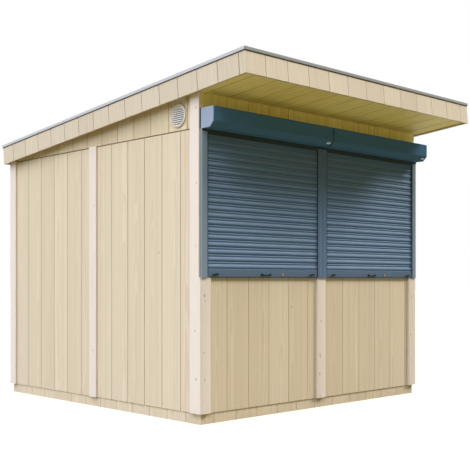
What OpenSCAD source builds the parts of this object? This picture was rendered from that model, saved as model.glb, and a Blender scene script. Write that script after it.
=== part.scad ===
// Wooden market hut: a boarded timber hut with a mono-pitch roof, a deep front canopy and
// two roller shutters above a counter-height front wall.
// Sizes are in millimetres. The origin is the middle of the footprint on the ground,
// +Z is up, and the shutters face -Y.

/* [Footprint] */
// Width of the hut over its plinth boards, left to right
hut_w = 2400; // [2150:10:3200]
// Depth of the hut over its plinth boards, front to back
hut_d = 2526; // [2100:2:3200]
// Height of the plinth, from the ground to the top of the floor
plinth_h = 74; // [60:1:110]

/* [Floor] */
// Thickness of the plinth boards
plinth_t = 18; // [14:1:24]
// Thickness of the floor deck
floor_t = 18; // [14:1:24]
// Width of each floor bearer
bearer_w = 45; // [36:1:70]
// Number of floor bearers
bearer_n = 5; // [3:2:7]

/* [Walls] */
// Thickness of the boarded wall panels
panel_t = 16; // [12:1:20]
// How far the panels stand out past the plinth boards
panel_proud = 6; // [3:1:9]
// Side of the square wall timbers
stud = 45; // [36:1:56]
// Width of the cover strips over the panel joints and corners
strip_w = 95; // [70:1:120]
// Thickness of the cover strips
strip_t = 16; // [12:1:20]
// Shadow gap between the side panels and the gable panels above them
seam_gap = 6; // [3:1:10]
// Height of the gable panels at their rear edge
gable_back_h = 131; // [105:1:170]

/* [Front] */
// Height of the boarding under the shutters, above the plinth
counter_h = 920; // [700:5:1100]
// How far the wall boarding laps past the ends of the shutter guides
hatch_lap = 6; // [3:1:12]
// Height from the top of the shutter boxes to the bottom edge of the fascia
header_h = 98; // [60:1:200]

/* [Shutters] */
// Height of the shutter guides
guide_h = 1002; // [700:2:1200]
// Width of each shutter guide
guide_w = 50; // [40:1:64]
// Depth of each shutter guide, front to back
guide_d = 26; // [22:1:36]
// Solid web behind the slot of a guide
guide_web = 12; // [8:1:16]
// Height of the closed foot of a guide
guide_foot = 3; // [2:1:8]
// Distance from the outer face of the corner strips to the outer guide
guide_inset = 8; // [2:1:14]
// Gap between the two shutters at the middle of the front
bay_gap = 1; // [0.5:0.5:6]
// Height of the shutter boxes
box_h = 137; // [110:1:180]
// Depth of the shutter boxes, front to back
box_d = 140; // [110:1:180]
// Size of the slanted lower front corner of the boxes
box_chamfer = 38; // [20:1:60]
// Thickness of the end caps of the boxes
cap_t = 5; // [3:1:10]
// Thickness of the curtain over its slats
curtain_t = 9; // [7:0.5:13]
// Running clearance of the curtain in the guide slots
slot_clear = 1; // [0.5:0.5:2]
// Height of one slat of the curtain
slat_pitch = 49.6; // [36:0.2:64]
// Height of the small bead at the lower edge of a slat
slat_bead = 12; // [8:0.5:16]
// Height of the narrow neck between two slats
slat_neck = 4.6; // [3:0.2:7]
// Thickness of the narrow neck between two slats
neck_t = 3; // [2:0.5:4]
// How far the lowest slat is tucked into the bottom rail
slat_tuck = 18; // [0:1:30]
// Height of the bottom rail of the curtain
rail_h = 57; // [40:1:80]
// Thickness of the bottom rail between the guides
rail_t = 14; // [11:1:20]

/* [Shutter fittings] */
// Length of the latch levers on the bottom rail
lever_len = 55; // [35:1:80]
// Height of the latch levers
lever_h = 14; // [8:1:20]
// Distance from the end of a shutter to the middle of its latch lever
lever_inset = 122; // [90:1:200]
// Length of the lock case on the bottom rail
lock_len = 96; // [60:1:140]
// Height of the lock case
lock_h = 16; // [10:1:24]
// How far the latch levers and the lock case stand out from the rail
fitting_t = 8; // [4:1:14]
// Diameter of the key cylinder
key_d = 18; // [12:1:24]
// Distance from the middle of the lock case to the key cylinder
key_offset = 173; // [110:1:220]
// Length of the crank plate on the box
crank_len = 40; // [24:1:60]
// Height of the crank plate on the box
crank_h = 14; // [10:1:20]
// Thickness of the crank plate
crank_t = 3; // [2:1:5]
// Diameter of the crank eye
crank_eye_d = 8; // [6:1:12]
// Distance from the right end of a box to its crank plate
crank_inset = 20; // [10:1:60]

/* [Roof] */
// Fall of the roof towards the back, in degrees
slope = 5.3; // [3:0.1:8]
// Run of the canopy past the front of the plinth, along the slope
overhang_front = 521; // [350:1:700]
// Run of the roof past the back of the plinth, along the slope
overhang_back = 45; // [35:1:90]
// Run of the roof past each side of the plinth
overhang_side = 69; // [50:1:120]
// Height of the fascia boards, square to the slope
fascia_h = 168; // [140:1:220]
// Thickness of the fascia boards
fascia_t = 18; // [14:1:24]
// Recess of the soffit above the bottom edge of the fascia
soffit_up = 11; // [5:1:20]
// Thickness of the soffit boards
soffit_t = 12; // [9:1:18]
// Width of the rafters between the walls
rafter_w = 45; // [36:1:70]
// Number of rafters between the two outer ones
rafter_n = 5; // [3:1:7]
// Thickness of the roof boarding
roof_deck_t = 22; // [16:1:28]
// Thickness of the roof membrane
membrane_t = 3; // [2:0.5:5]
// Thickness of the metal edge trim
trim_t = 2; // [1:0.5:3]
// Height of the edge trim over the fascia
trim_drop = 28; // [18:1:50]
// Width of the edge trim on top of the roof
trim_lap = 40; // [28:1:80]
// Distance of the edge trim from the face of the fascia
trim_stand = 4; // [2:1:8]

/* [Gable vents] */
// Outer diameter of the round vent
vent_d = 160; // [130:1:180]
// Width of the rim of the vent
vent_rim = 10; // [6:1:16]
// How far the vent stands out from the wall
vent_out = 12; // [8:1:20]
// Diameter of the hole in the gable panel
vent_hole = 120; // [90:1:125]
// Distance of the vent from the front of the plinth
vent_back = 225; // [190:1:400]
// Distance of the middle of the vent below the bottom edge of the fascia
vent_drop = 97; // [90:1:110]
// Number of louvre blades
louvre_n = 10; // [6:1:14]
// Thickness of a louvre blade
louvre_t = 2; // [1:0.5:3]
// Tilt of the louvre blades, in degrees
louvre_tilt = 35; // [20:1:45]
// Thickness of the insect screen behind the louvres
screen_t = 1; // [0.5:0.5:3]

/* [Back door] */
// Width of the door leaf
door_w = 800; // [700:10:900]
// Thickness of the door leaf
door_t = 40; // [34:1:44]
// Height of the wall over the door opening
door_over_h = 140; // [125:1:300]
// Gap around the door leaf
door_clear = 3; // [2:1:5]
// Width of the stop that the door closes on
stop_w = 14; // [10:1:25]
// Width of the casing around the door
casing_w = 70; // [50:1:80]
// Height of each hinge
hinge_h = 90; // [60:1:130]
// Width of each flap of a hinge
hinge_w = 30; // [20:1:45]
// Thickness of the hinge flaps
hinge_t = 3; // [2:1:4]
// Diameter of the hinge knuckle
knuckle_d = 12; // [9:1:16]
// Distance of the outer hinges from the ends of the door
hinge_inset = 180; // [120:1:260]
// Height of the door handle above the floor
handle_h = 1000; // [900:5:1100]
// Distance of the door handle from the edge of the door
handle_inset = 60; // [45:1:80]
// Height of the plate of the door handle
plate_h = 220; // [160:1:260]
// Width of the plate of the door handle
plate_w = 40; // [30:1:50]
// Thickness of the plate of the door handle
plate_t = 4; // [2:1:6]
// Diameter of the door handle's lever
handle_d = 16; // [12:1:22]
// Length of the door handle's lever
handle_len = 120; // [90:1:140]
// Distance of the lever from the plate
handle_out = 20; // [12:1:30]

/* [Hidden] */
$fn = 48;
// Clearance between neighbouring pieces of one wall, frame or roof edge
fit_gap = 0.3;
// Overlap inside one solid, where two of its shapes are joined
bite = 0.5;

// Outer and inner faces of the walls
half_w = hut_w / 2;
half_d = hut_d / 2;
side_out = half_w + panel_proud;
side_in = side_out - panel_t;
end_out = half_d + panel_proud;
end_in = end_out - panel_t;
strip_side = side_out + strip_t;
strip_end = end_out + strip_t;
frame_x = side_in - stud;
frame_y = end_in - stud;
corner_strip_w = strip_w - strip_t;

// Heights of the front, from the counter up to the fascia
sill_z = plinth_h + counter_h;
box_z = sill_z + guide_h;
roof_z = box_z + box_h + header_h;
hatch_z0 = sill_z + hatch_lap;
hatch_z1 = box_z - hatch_lap;

// Layers of the roof, measured square to the slope from the bottom edge of the fascia
rafter_under = soffit_up + soffit_t;
deck_top = fascia_h - membrane_t;
deck_under = deck_top - roof_deck_t;
roof_x = half_w + overhang_side;
roof_y0 = -overhang_front;
roof_y1 = hut_d / cos(slope) + overhang_back;
roof_len = roof_y1 - roof_y0;
inner_x = roof_x - fascia_t;
trim_reach = trim_stand + trim_t;

// Height of a roof layer over a place in the plan
function under_roof(y, layer) = roof_z - (y + half_d) * tan(slope) + layer / cos(slope);

// The seam between the side panels and the gables, with the rail behind it
seam_top = under_roof(end_in, deck_under) - gable_back_h;
seam_bottom = seam_top - seam_gap;
rail_top = (seam_top + seam_bottom + stud) / 2;
rail_bottom = rail_top - stud;
front_plate_z = under_roof(-frame_y, rafter_under) - stud;
back_plate_z = under_roof(end_in, rafter_under) - stud;

// The shutters: each spans from its outer guide to the gap at the middle
shutter_w = strip_side - guide_inset - bay_gap / 2;
shutter_starts = [-(strip_side - guide_inset), bay_gap / 2];
curtain_y = -end_out - guide_d / 2;
curtain_back = curtain_y + curtain_t / 2;
slot_w = curtain_t + 2 * slot_clear;
curtain_x0 = guide_web + slot_clear;
curtain_len = shutter_w - 2 * curtain_x0;
rail_z = sill_z + guide_foot;
curtain_z = rail_z + rail_h;
curtain_h = box_z - curtain_z;
slat_body = slat_pitch - slat_bead - slat_neck;
bead_t = (curtain_t + neck_t) / 2;
rail_face = curtain_y - rail_t / 2;
fitting_z = rail_z + rail_h / 3;

// The vent
vent_y = -half_d + vent_back;
vent_z = under_roof(vent_y, 0) - vent_drop;
vent_inner_d = vent_d - 2 * vent_rim;
louvre_pitch = vent_inner_d / louvre_n;

// The door opening, midway between the strips of the right-hand bay of the back wall
door_open_w = door_w + 2 * door_clear;
door_mid = (strip_w / 2 + side_out - corner_strip_w) / 2;
door_x0 = door_mid - door_open_w / 2;
door_x1 = door_x0 + door_open_w;
door_top = under_roof(end_in, rafter_under) - door_over_h;
door_back = strip_end - door_t;
leaf_z0 = plinth_h + door_clear;
leaf_z1 = door_top - door_clear;
hinge_heights = [leaf_z0 + hinge_inset, (leaf_z0 + leaf_z1) / 2, leaf_z1 - hinge_inset];

// Colours
board_colour = [0.86, 0.78, 0.66];
strip_colour = [0.91, 0.86, 0.78];
timber_colour = [0.80, 0.70, 0.54];
shutter_colour = [0.27, 0.34, 0.39];
cap_colour = [0.55, 0.61, 0.67];
latch_colour = [0.10, 0.13, 0.18];
trim_colour = [0.63, 0.63, 0.61];
membrane_colour = [0.20, 0.20, 0.21];
vent_colour = [0.86, 0.85, 0.81];
brass_colour = [0.72, 0.60, 0.28];
steel_colour = [0.70, 0.70, 0.69];

// A box between two corners
module block(low, high) {
    translate(low)
        cube(high - low);
}

// A side view, drawn as [y, z], made solid from x0 to x1
module side_slab(x0, x1) {
    translate([x0, 0, 0])
        rotate([90, 0, 90])
            linear_extrude(x1 - x0)
                children();
}

// Places a piece in the sloping frame of the roof: y down the slope, z square to it
module in_roof() {
    translate([0, -half_d, roof_z])
        rotate([-slope, 0, 0])
            children();
}

// The piece and its mirror image on the other side of the hut
module both_sides() {
    children();
    mirror([1, 0, 0])
        children();
}

// A wall piece with a level foot and a top cut to a roof layer
module sloped_piece(x0, x1, y0, y1, foot_z, layer) {
    side_slab(x0, x1)
        polygon([
            [y0, foot_z],
            [y1, foot_z],
            [y1, under_roof(y1, layer)],
            [y0, under_roof(y0, layer)]
        ]);
}

// Floor and plinth

module floor_bearers() {
    run = half_d - plinth_t;
    spread = hut_w - 2 * plinth_t - 2 * bearer_w;
    color(timber_colour)
        for (i = [0:bearer_n - 1]) {
            x = spread * (i / (bearer_n - 1) - 0.5);
            block([x - bearer_w / 2, -run, 0], [x + bearer_w / 2, run, plinth_h - floor_t]);
        }
}

module floor_deck() {
    color(timber_colour)
        block(
            [plinth_t - half_w, plinth_t - half_d, plinth_h - floor_t],
            [half_w - plinth_t, half_d - plinth_t, plinth_h]
        );
}

module plinth_boards() {
    run = half_d - plinth_t - fit_gap;
    color(board_colour) {
        block([-half_w, -half_d, 0], [half_w, plinth_t - half_d, plinth_h]);
        block([-half_w, half_d - plinth_t, 0], [half_w, half_d, plinth_h]);
        both_sides()
            block([half_w - plinth_t, -run, 0], [half_w, run, plinth_h]);
    }
}

// Wall frames

module front_frame() {
    post_z = plinth_h + stud + fit_gap;
    color(timber_colour) {
        block([-side_in, -end_in, plinth_h], [side_in, -frame_y, plinth_h + stud]);
        both_sides()
            block([frame_x, -end_in, post_z], [side_in, -frame_y, front_plate_z - fit_gap]);
        block([-stud, -end_in, post_z], [stud, -frame_y, front_plate_z - fit_gap]);
        both_sides() {
            block(
                [stud + fit_gap, -end_in, hatch_z0 - stud],
                [frame_x - fit_gap, -frame_y, hatch_z0]
            );
            block(
                [stud + fit_gap, -end_in, hatch_z1],
                [frame_x - fit_gap, -frame_y, hatch_z1 + stud]
            );
        }
        sloped_piece(-side_in, side_in, -end_in, -frame_y, front_plate_z, rafter_under);
    }
}

module back_frame() {
    post_z = plinth_h + stud + fit_gap;
    door_left = door_x0 - stud - fit_gap;
    door_right = door_x1 + stud + fit_gap;
    color(timber_colour) {
        block([-side_in, frame_y, plinth_h], [door_left, end_in, plinth_h + stud]);
        block([door_right, frame_y, plinth_h], [side_in, end_in, plinth_h + stud]);
        both_sides()
            block([frame_x, frame_y, post_z], [side_in, end_in, back_plate_z - fit_gap]);
        block([-stud / 2, frame_y, post_z], [stud / 2, end_in, back_plate_z - fit_gap]);
        sloped_piece(-side_in, side_in, frame_y, end_in, back_plate_z, rafter_under);
    }
}

// Rails, studs and sloping plate of one side wall, on the right-hand side
module side_frame() {
    run = frame_y - fit_gap;
    stud_middles = [-run + stud / 2, 0, run - stud / 2];
    block([frame_x, -run, plinth_h], [side_in, run, plinth_h + stud]);
    block([frame_x, -run, rail_bottom], [side_in, run, rail_top]);
    side_slab(frame_x, side_in)
        polygon([
            [-run, under_roof(-run, deck_under - stud)],
            [run, under_roof(run, deck_under - stud)],
            [run, under_roof(run, deck_under)],
            [-run, under_roof(-run, deck_under)]
        ]);
    for (y = stud_middles) {
        block(
            [frame_x, y - stud / 2, plinth_h + stud + fit_gap],
            [side_in, y + stud / 2, rail_bottom - fit_gap]
        );
        sloped_piece(
            frame_x, side_in, y - stud / 2, y + stud / 2,
            rail_top + fit_gap, deck_under - stud - fit_gap
        );
    }
}

module left_frame() {
    color(timber_colour)
        mirror([1, 0, 0])
            side_frame();
}

module right_frame() {
    color(timber_colour)
        side_frame();
}

// Front wall boarding

module front_lower_panels() {
    color(board_colour)
        both_sides()
            block([fit_gap / 2, -end_out, plinth_h], [side_out, -end_in, hatch_z0 - fit_gap]);
}

module front_jambs() {
    color(board_colour) {
        both_sides()
            block([frame_x, -end_out, hatch_z0], [side_out, -end_in, hatch_z1 - fit_gap]);
        block([-stud, -end_out, hatch_z0], [stud, -end_in, hatch_z1 - fit_gap]);
    }
}

module front_header() {
    color(board_colour)
        sloped_piece(-side_out, side_out, -end_out, -end_in, hatch_z1, rafter_under);
}

module front_strips() {
    color(strip_colour) {
        both_sides()
            block([strip_side - strip_w, -strip_end, plinth_h], [strip_side, -end_out, sill_z]);
        block([-strip_w / 2, -strip_end, plinth_h], [strip_w / 2, -end_out, sill_z]);
    }
}

// Side wall boarding, drawn on the right-hand side

module side_panels() {
    for (end = [-1, 1])
        scale([1, end, 1])
            block([side_in, fit_gap / 2, plinth_h], [side_out, end_in, seam_bottom]);
}

module gable() {
    difference() {
        sloped_piece(side_in, side_out, -end_in, end_in, seam_top, deck_under);
        translate([side_in - bite, vent_y, vent_z])
            rotate([0, 90, 0])
                cylinder(d = vent_hole, h = panel_t + 2 * bite);
    }
}

// The corner strips run up to the roof, and the middle one stops at the foot of the gable
module side_strips() {
    for (y = [-end_out, strip_end - strip_w])
        sloped_piece(side_out, strip_side, y, y + strip_w, plinth_h, soffit_up - fit_gap);
    block([side_out, -strip_w / 2, plinth_h], [strip_side, strip_w / 2, seam_top]);
}

// Round louvred vent: a rim, tilted blades, and a spigot in the hole of the gable that is
// closed by an insect screen at its inner end
module vent() {
    spigot_d = vent_hole - 2 * fit_gap;
    blade_depth = vent_out - 2 * louvre_t;
    translate([side_out, vent_y, vent_z])
        rotate([0, 90, 0]) {
            difference() {
                union() {
                    cylinder(d = vent_d, h = vent_out);
                    translate([0, 0, -panel_t])
                        cylinder(d = spigot_d, h = panel_t + bite);
                }
                translate([0, 0, louvre_t])
                    cylinder(d = vent_inner_d, h = vent_out);
                translate([0, 0, screen_t - panel_t])
                    cylinder(d = spigot_d - 2 * louvre_t, h = panel_t + vent_out);
            }
            intersection() {
                cylinder(d = vent_inner_d + vent_rim, h = vent_out);
                for (i = [0:louvre_n - 1])
                    translate([louvre_pitch * (i + 0.5) - vent_inner_d / 2, 0, vent_out / 2])
                        rotate([0, louvre_tilt, 0])
                            cube([louvre_t, vent_d, blade_depth], center = true);
            }
        }
}

module left_panels() {
    color(board_colour)
        mirror([1, 0, 0])
            side_panels();
}

module right_panels() {
    color(board_colour)
        side_panels();
}

module left_gable() {
    color(board_colour)
        mirror([1, 0, 0])
            gable();
}

module right_gable() {
    color(board_colour)
        gable();
}

module left_strips() {
    color(strip_colour)
        mirror([1, 0, 0])
            side_strips();
}

module right_strips() {
    color(strip_colour)
        side_strips();
}

module left_vent() {
    color(vent_colour)
        mirror([1, 0, 0])
            vent();
}

module right_vent() {
    color(vent_colour)
        vent();
}

// Back wall boarding, split beside and over the doorway

module back_panels() {
    color(board_colour) {
        sloped_piece(-side_out, -fit_gap / 2, end_in, end_out, plinth_h, rafter_under);
        sloped_piece(fit_gap / 2, door_x0, end_in, end_out, plinth_h, rafter_under);
        sloped_piece(door_x1, side_out, end_in, end_out, plinth_h, rafter_under);
        sloped_piece(door_x0 + fit_gap, door_x1 - fit_gap, end_in, end_out, door_top, rafter_under);
    }
}

module back_strips() {
    strip_top = under_roof(strip_end, soffit_up - fit_gap);
    color(strip_colour) {
        both_sides()
            block([side_out - corner_strip_w, end_out, plinth_h], [side_out, strip_end, strip_top]);
        block([-strip_w / 2, end_out, plinth_h], [strip_w / 2, strip_end, strip_top]);
    }
}

// Back door

// Rebated section of a door post: the post and the stop that the leaf closes on
module door_section() {
    polygon([
        [0, frame_y],
        [stud + stop_w, frame_y],
        [stud + stop_w, door_back - fit_gap],
        [stud, door_back - fit_gap],
        [stud, end_in],
        [0, end_in]
    ]);
}

module door_frame() {
    post_h = door_top - plinth_h;
    color(timber_colour) {
        translate([door_x0 - stud, 0, plinth_h])
            linear_extrude(post_h)
                door_section();
        translate([door_x1 + stud, 0, plinth_h])
            linear_extrude(post_h)
                mirror([1, 0])
                    door_section();
        block(
            [door_x0 - stud, frame_y, door_top + fit_gap],
            [door_x1 + stud, end_in, door_top + stud]
        );
    }
}

module door_casing() {
    color(strip_colour) {
        block([door_x0 - casing_w, end_out, plinth_h], [door_x0, strip_end, door_top - fit_gap]);
        block([door_x1, end_out, plinth_h], [door_x1 + casing_w, strip_end, door_top - fit_gap]);
        block(
            [door_x0 - casing_w, end_out, door_top],
            [door_x1 + casing_w, strip_end, door_top + casing_w]
        );
    }
}

module door_leaf() {
    color(board_colour)
        block(
            [door_x0 + door_clear, door_back, leaf_z0],
            [door_x1 - door_clear, strip_end, leaf_z1]
        );
}

module door_hinges() {
    joint_x = door_x1 - door_clear / 2;
    color(steel_colour)
        for (z = hinge_heights)
            translate([joint_x, strip_end, z - hinge_h / 2]) {
                translate([-hinge_w, 0, 0])
                    cube([2 * hinge_w, hinge_t, hinge_h]);
                translate([0, knuckle_d / 2, 0])
                    cylinder(d = knuckle_d, h = hinge_h);
            }
}

module door_handle() {
    lever_y = plate_t + handle_out;
    color(steel_colour)
        translate([door_x0 + door_clear + handle_inset, strip_end, plinth_h + handle_h]) {
            translate([-plate_w / 2, 0, -plate_h * 0.7])
                cube([plate_w, plate_t, plate_h]);
            rotate([-90, 0, 0])
                cylinder(d = handle_d, h = lever_y);
            translate([0, lever_y, 0]) {
                sphere(d = handle_d);
                rotate([0, 90, 0])
                    cylinder(d = handle_d, h = handle_len);
                translate([handle_len, 0, 0])
                    sphere(d = handle_d);
            }
        }
}

// Roof

module roof_rafters() {
    bay = hut_w / (rafter_n + 1);
    run_start = roof_y0 + fascia_t;
    run_end = roof_y1 - fascia_t;
    color(timber_colour)
        in_roof() {
            for (i = [0:rafter_n - 1]) {
                x = bay * (i - (rafter_n - 1) / 2);
                block(
                    [x - rafter_w / 2, run_start, rafter_under],
                    [x + rafter_w / 2, run_end, deck_under]
                );
            }
            both_sides()
                block([side_out, run_start, rafter_under], [inner_x, run_end, deck_under]);
        }
}

module roof_deck() {
    color(timber_colour)
        in_roof()
            block(
                [-inner_x, roof_y0 + fascia_t, deck_under],
                [inner_x, roof_y1 - fascia_t, deck_top]
            );
}

module roof_membrane() {
    color(membrane_colour)
        in_roof()
            block(
                [-inner_x, roof_y0 + fascia_t, deck_top],
                [inner_x, roof_y1 - fascia_t, fascia_h]
            );
}

module front_soffit() {
    back_edge = -(panel_proud + rafter_under * sin(slope)) / cos(slope) - fit_gap;
    color(board_colour)
        in_roof()
            block([-inner_x, roof_y0 + fascia_t, soffit_up], [inner_x, back_edge, rafter_under]);
}

module front_fascia() {
    color(board_colour)
        in_roof()
            block([-roof_x, roof_y0, 0], [roof_x, roof_y0 + fascia_t, fascia_h]);
}

module back_fascia() {
    color(board_colour)
        in_roof()
            block([-roof_x, roof_y1 - fascia_t, 0], [roof_x, roof_y1, fascia_h]);
}

module side_fascia() {
    in_roof()
        block([inner_x, roof_y0 + fascia_t, 0], [roof_x, roof_y1 - fascia_t, fascia_h]);
}

module left_fascia() {
    color(board_colour)
        mirror([1, 0, 0])
            side_fascia();
}

module right_fascia() {
    color(board_colour)
        side_fascia();
}

// Plan of a strip along one roof edge, with its two ends cut to a mitre
module mitred_plan(edge, width) {
    half = edge / 2 - fit_gap;
    polygon([[-half, 0], [half, 0], [half - width, width], [width - half, width]]);
}

// One angle of the edge trim: a leg on the roof and a leg down the fascia
module trim_angle(edge) {
    linear_extrude(trim_t)
        mitred_plan(edge, trim_reach + trim_lap);
    translate([0, 0, trim_t - trim_drop])
        linear_extrude(trim_drop)
            mitred_plan(edge, trim_t);
}

module roof_edge_trim() {
    across = 2 * (roof_x + trim_reach);
    along = roof_len + 2 * trim_reach;
    color(trim_colour)
        in_roof()
            translate([0, (roof_y0 + roof_y1) / 2, fascia_h])
                for (turn = [0, 180]) {
                    rotate([0, 0, turn])
                        translate([0, -along / 2, 0])
                            trim_angle(across);
                    rotate([0, 0, turn + 90])
                        translate([0, -across / 2, 0])
                            trim_angle(along);
                }
}

// Roller shutters, drawn from the left end of one shutter

module box_profile() {
    polygon([
        [-end_out, box_z],
        [-end_out - box_d + box_chamfer, box_z],
        [-end_out - box_d, box_z + box_chamfer],
        [-end_out - box_d, box_z + box_h],
        [-end_out, box_z + box_h]
    ]);
}

module shutter_box(start) {
    side_slab(start + cap_t + fit_gap, start + shutter_w - cap_t - fit_gap)
        box_profile();
}

module left_shutter_box() {
    color(shutter_colour)
        shutter_box(shutter_starts[0]);
}

module right_shutter_box() {
    color(shutter_colour)
        shutter_box(shutter_starts[1]);
}

module shutter_end_caps() {
    color(cap_colour)
        for (start = shutter_starts) {
            side_slab(start, start + cap_t)
                box_profile();
            side_slab(start + shutter_w - cap_t, start + shutter_w)
                box_profile();
        }
}

// Channel with a slot for the curtain and a closed foot, with its web at the left
module guide() {
    difference() {
        block([0, -end_out - guide_d, sill_z], [guide_w, -end_out, box_z]);
        block(
            [guide_web, curtain_y - slot_w / 2, rail_z],
            [guide_w + bite, curtain_y + slot_w / 2, box_z + bite]
        );
    }
}

module shutter_guides() {
    color(shutter_colour)
        for (start = shutter_starts) {
            translate([start, 0, 0])
                guide();
            translate([start + shutter_w, 0, 0])
                mirror([1, 0, 0])
                    guide();
        }
}

// Rounded front of a slat over one stretch of its height
module slat_bulge(foot, height, face) {
    rise = face - neck_t + bite;
    radius = (height * height / 4 + rise * rise) / (2 * rise);
    intersection() {
        translate([face - radius, foot + height / 2])
            circle(r = radius, $fn = 180);
        translate([neck_t - bite, foot])
            square([rise, height]);
    }
}

// Side view of the whole curtain: slats with a wide rounded body, a bead and a narrow neck
module curtain_profile() {
    slat_n = ceil((curtain_h + slat_tuck) / slat_pitch);
    intersection() {
        square([curtain_t, curtain_h]);
        union() {
            square([neck_t, curtain_h]);
            for (i = [0:slat_n - 1]) {
                foot = i * slat_pitch + slat_neck - slat_tuck;
                slat_bulge(foot, slat_bead, bead_t);
                slat_bulge(foot + slat_bead, slat_body, curtain_t);
            }
        }
    }
}

module curtain(start) {
    side_slab(start + curtain_x0, start + curtain_x0 + curtain_len)
        translate([curtain_back, curtain_z])
            mirror([1, 0])
                curtain_profile();
}

module left_curtain() {
    color(shutter_colour)
        curtain(shutter_starts[0]);
}

module right_curtain() {
    color(shutter_colour)
        curtain(shutter_starts[1]);
}

// Bottom rail: a bar between the guides, with a tongue at each end in their slots
module shutter_bottom_rails() {
    bar_x0 = guide_w + slot_clear;
    color(shutter_colour)
        for (start = shutter_starts)
            translate([start, 0, 0]) {
                block(
                    [curtain_x0, curtain_y - curtain_t / 2, rail_z],
                    [curtain_x0 + curtain_len, curtain_back, curtain_z]
                );
                block(
                    [bar_x0, rail_face, rail_z],
                    [shutter_w - bar_x0, curtain_y + rail_t / 2, curtain_z]
                );
            }
}

// A flat fitting on the face of the bottom rail, with a turned-out finger grip
module latch(middle, length, height) {
    block(
        [middle - length / 2, rail_face - fitting_t / 2, fitting_z - height / 2],
        [middle + length / 2, rail_face, fitting_z + height / 2]
    );
    block(
        [middle - length / 4, rail_face - fitting_t, fitting_z - height / 4],
        [middle + length / 4, rail_face - fitting_t / 2 + bite, fitting_z + height / 4]
    );
}

module shutter_latches() {
    color(latch_colour)
        for (start = shutter_starts)
            translate([start, 0, 0]) {
                latch(lever_inset, lever_len, lever_h);
                latch(shutter_w / 2, lock_len, lock_h);
                latch(shutter_w - lever_inset, lever_len, lever_h);
            }
}

module shutter_key_cylinders() {
    color(brass_colour)
        for (start = shutter_starts)
            translate([start + shutter_w / 2 + key_offset, rail_face, fitting_z])
                rotate([90, 0, 0])
                    cylinder(d = key_d, h = fitting_t / 2);
}

// Plate on the slanted face of a box, with the eye that takes the crank handle
module shutter_crank_eyes() {
    color(steel_colour)
        for (start = shutter_starts)
            translate([
                start + shutter_w - crank_inset - crank_len,
                -end_out - box_d + box_chamfer / 2,
                box_z + box_chamfer / 2
            ])
                rotate([45, 0, 0]) {
                    translate([0, -crank_t, -crank_h / 2])
                        cube([crank_len, crank_t, crank_h]);
                    translate([crank_len / 2, -crank_t + bite, 0])
                        rotate([90, 0, 0])
                            cylinder(d = crank_eye_d, h = crank_eye_d);
                }
}

floor_bearers();
floor_deck();
plinth_boards();
front_frame();
back_frame();
left_frame();
right_frame();
front_lower_panels();
front_jambs();
front_header();
front_strips();
left_panels();
left_gable();
left_strips();
left_vent();
right_panels();
right_gable();
right_strips();
right_vent();
back_panels();
back_strips();
door_frame();
door_casing();
door_leaf();
door_hinges();
door_handle();
roof_rafters();
roof_deck();
roof_membrane();
roof_edge_trim();
front_soffit();
front_fascia();
back_fascia();
left_fascia();
right_fascia();
left_shutter_box();
right_shutter_box();
shutter_end_caps();
shutter_guides();
left_curtain();
right_curtain();
shutter_bottom_rails();
shutter_latches();
shutter_key_cylinders();
shutter_crank_eyes();
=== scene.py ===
"""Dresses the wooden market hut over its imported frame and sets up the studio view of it."""

import logging
import math
import random
from dataclasses import dataclass
from enum import Enum
from typing import Any, Callable, ClassVar, Optional, Sequence, Union

import bmesh
import bpy
from mathutils import Matrix, Vector


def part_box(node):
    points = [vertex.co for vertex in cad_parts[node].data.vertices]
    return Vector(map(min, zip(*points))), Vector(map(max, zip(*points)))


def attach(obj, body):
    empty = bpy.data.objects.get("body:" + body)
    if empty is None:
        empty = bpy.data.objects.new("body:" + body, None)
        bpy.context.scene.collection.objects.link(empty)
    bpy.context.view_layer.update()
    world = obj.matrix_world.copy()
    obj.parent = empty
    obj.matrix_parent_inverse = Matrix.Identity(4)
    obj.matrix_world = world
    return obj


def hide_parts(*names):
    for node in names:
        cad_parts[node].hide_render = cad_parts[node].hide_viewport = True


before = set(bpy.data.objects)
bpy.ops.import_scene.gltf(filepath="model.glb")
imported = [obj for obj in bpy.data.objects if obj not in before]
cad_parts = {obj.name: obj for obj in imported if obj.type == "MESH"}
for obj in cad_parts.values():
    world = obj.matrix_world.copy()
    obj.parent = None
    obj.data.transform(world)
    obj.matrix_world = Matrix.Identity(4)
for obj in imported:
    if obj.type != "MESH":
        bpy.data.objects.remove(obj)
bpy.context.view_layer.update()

LOG = logging.getLogger("market_hut")
BODY = "root"

Point2 = tuple[float, float]
SectionPoint = Union[Point2, tuple[float, float, float]]
Colour = tuple[float, float, float]
Box = tuple[Vector, Vector]
Socket = bpy.types.NodeSocket
Feed = Union[Socket, float, Sequence[float]]
Reach = Callable[[float, float], float]
StripKnots = dict[int, list[Vector]]

ACROSS = Vector((1.0, 0.0, 0.0))
DEEP = Vector((0.0, 1.0, 0.0))
UP = Vector((0.0, 0.0, 1.0))

LEAST_CHORD = 0.001
CORNER_STEPS = 3
SMALL_CORNER_STEPS = 2


def rgba(colour: Colour) -> tuple[float, float, float, float]:
    """Returns a colour with full opacity, as a colour socket takes it."""
    return (*colour, 1.0)


def put_in_scene(name: str, data: Any) -> bpy.types.Object:
    """Returns a new object with the given data, linked into the scene."""
    thing = bpy.data.objects.new(name, data)
    bpy.context.scene.collection.objects.link(thing)
    return thing


# Shader benches and shared effects


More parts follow.
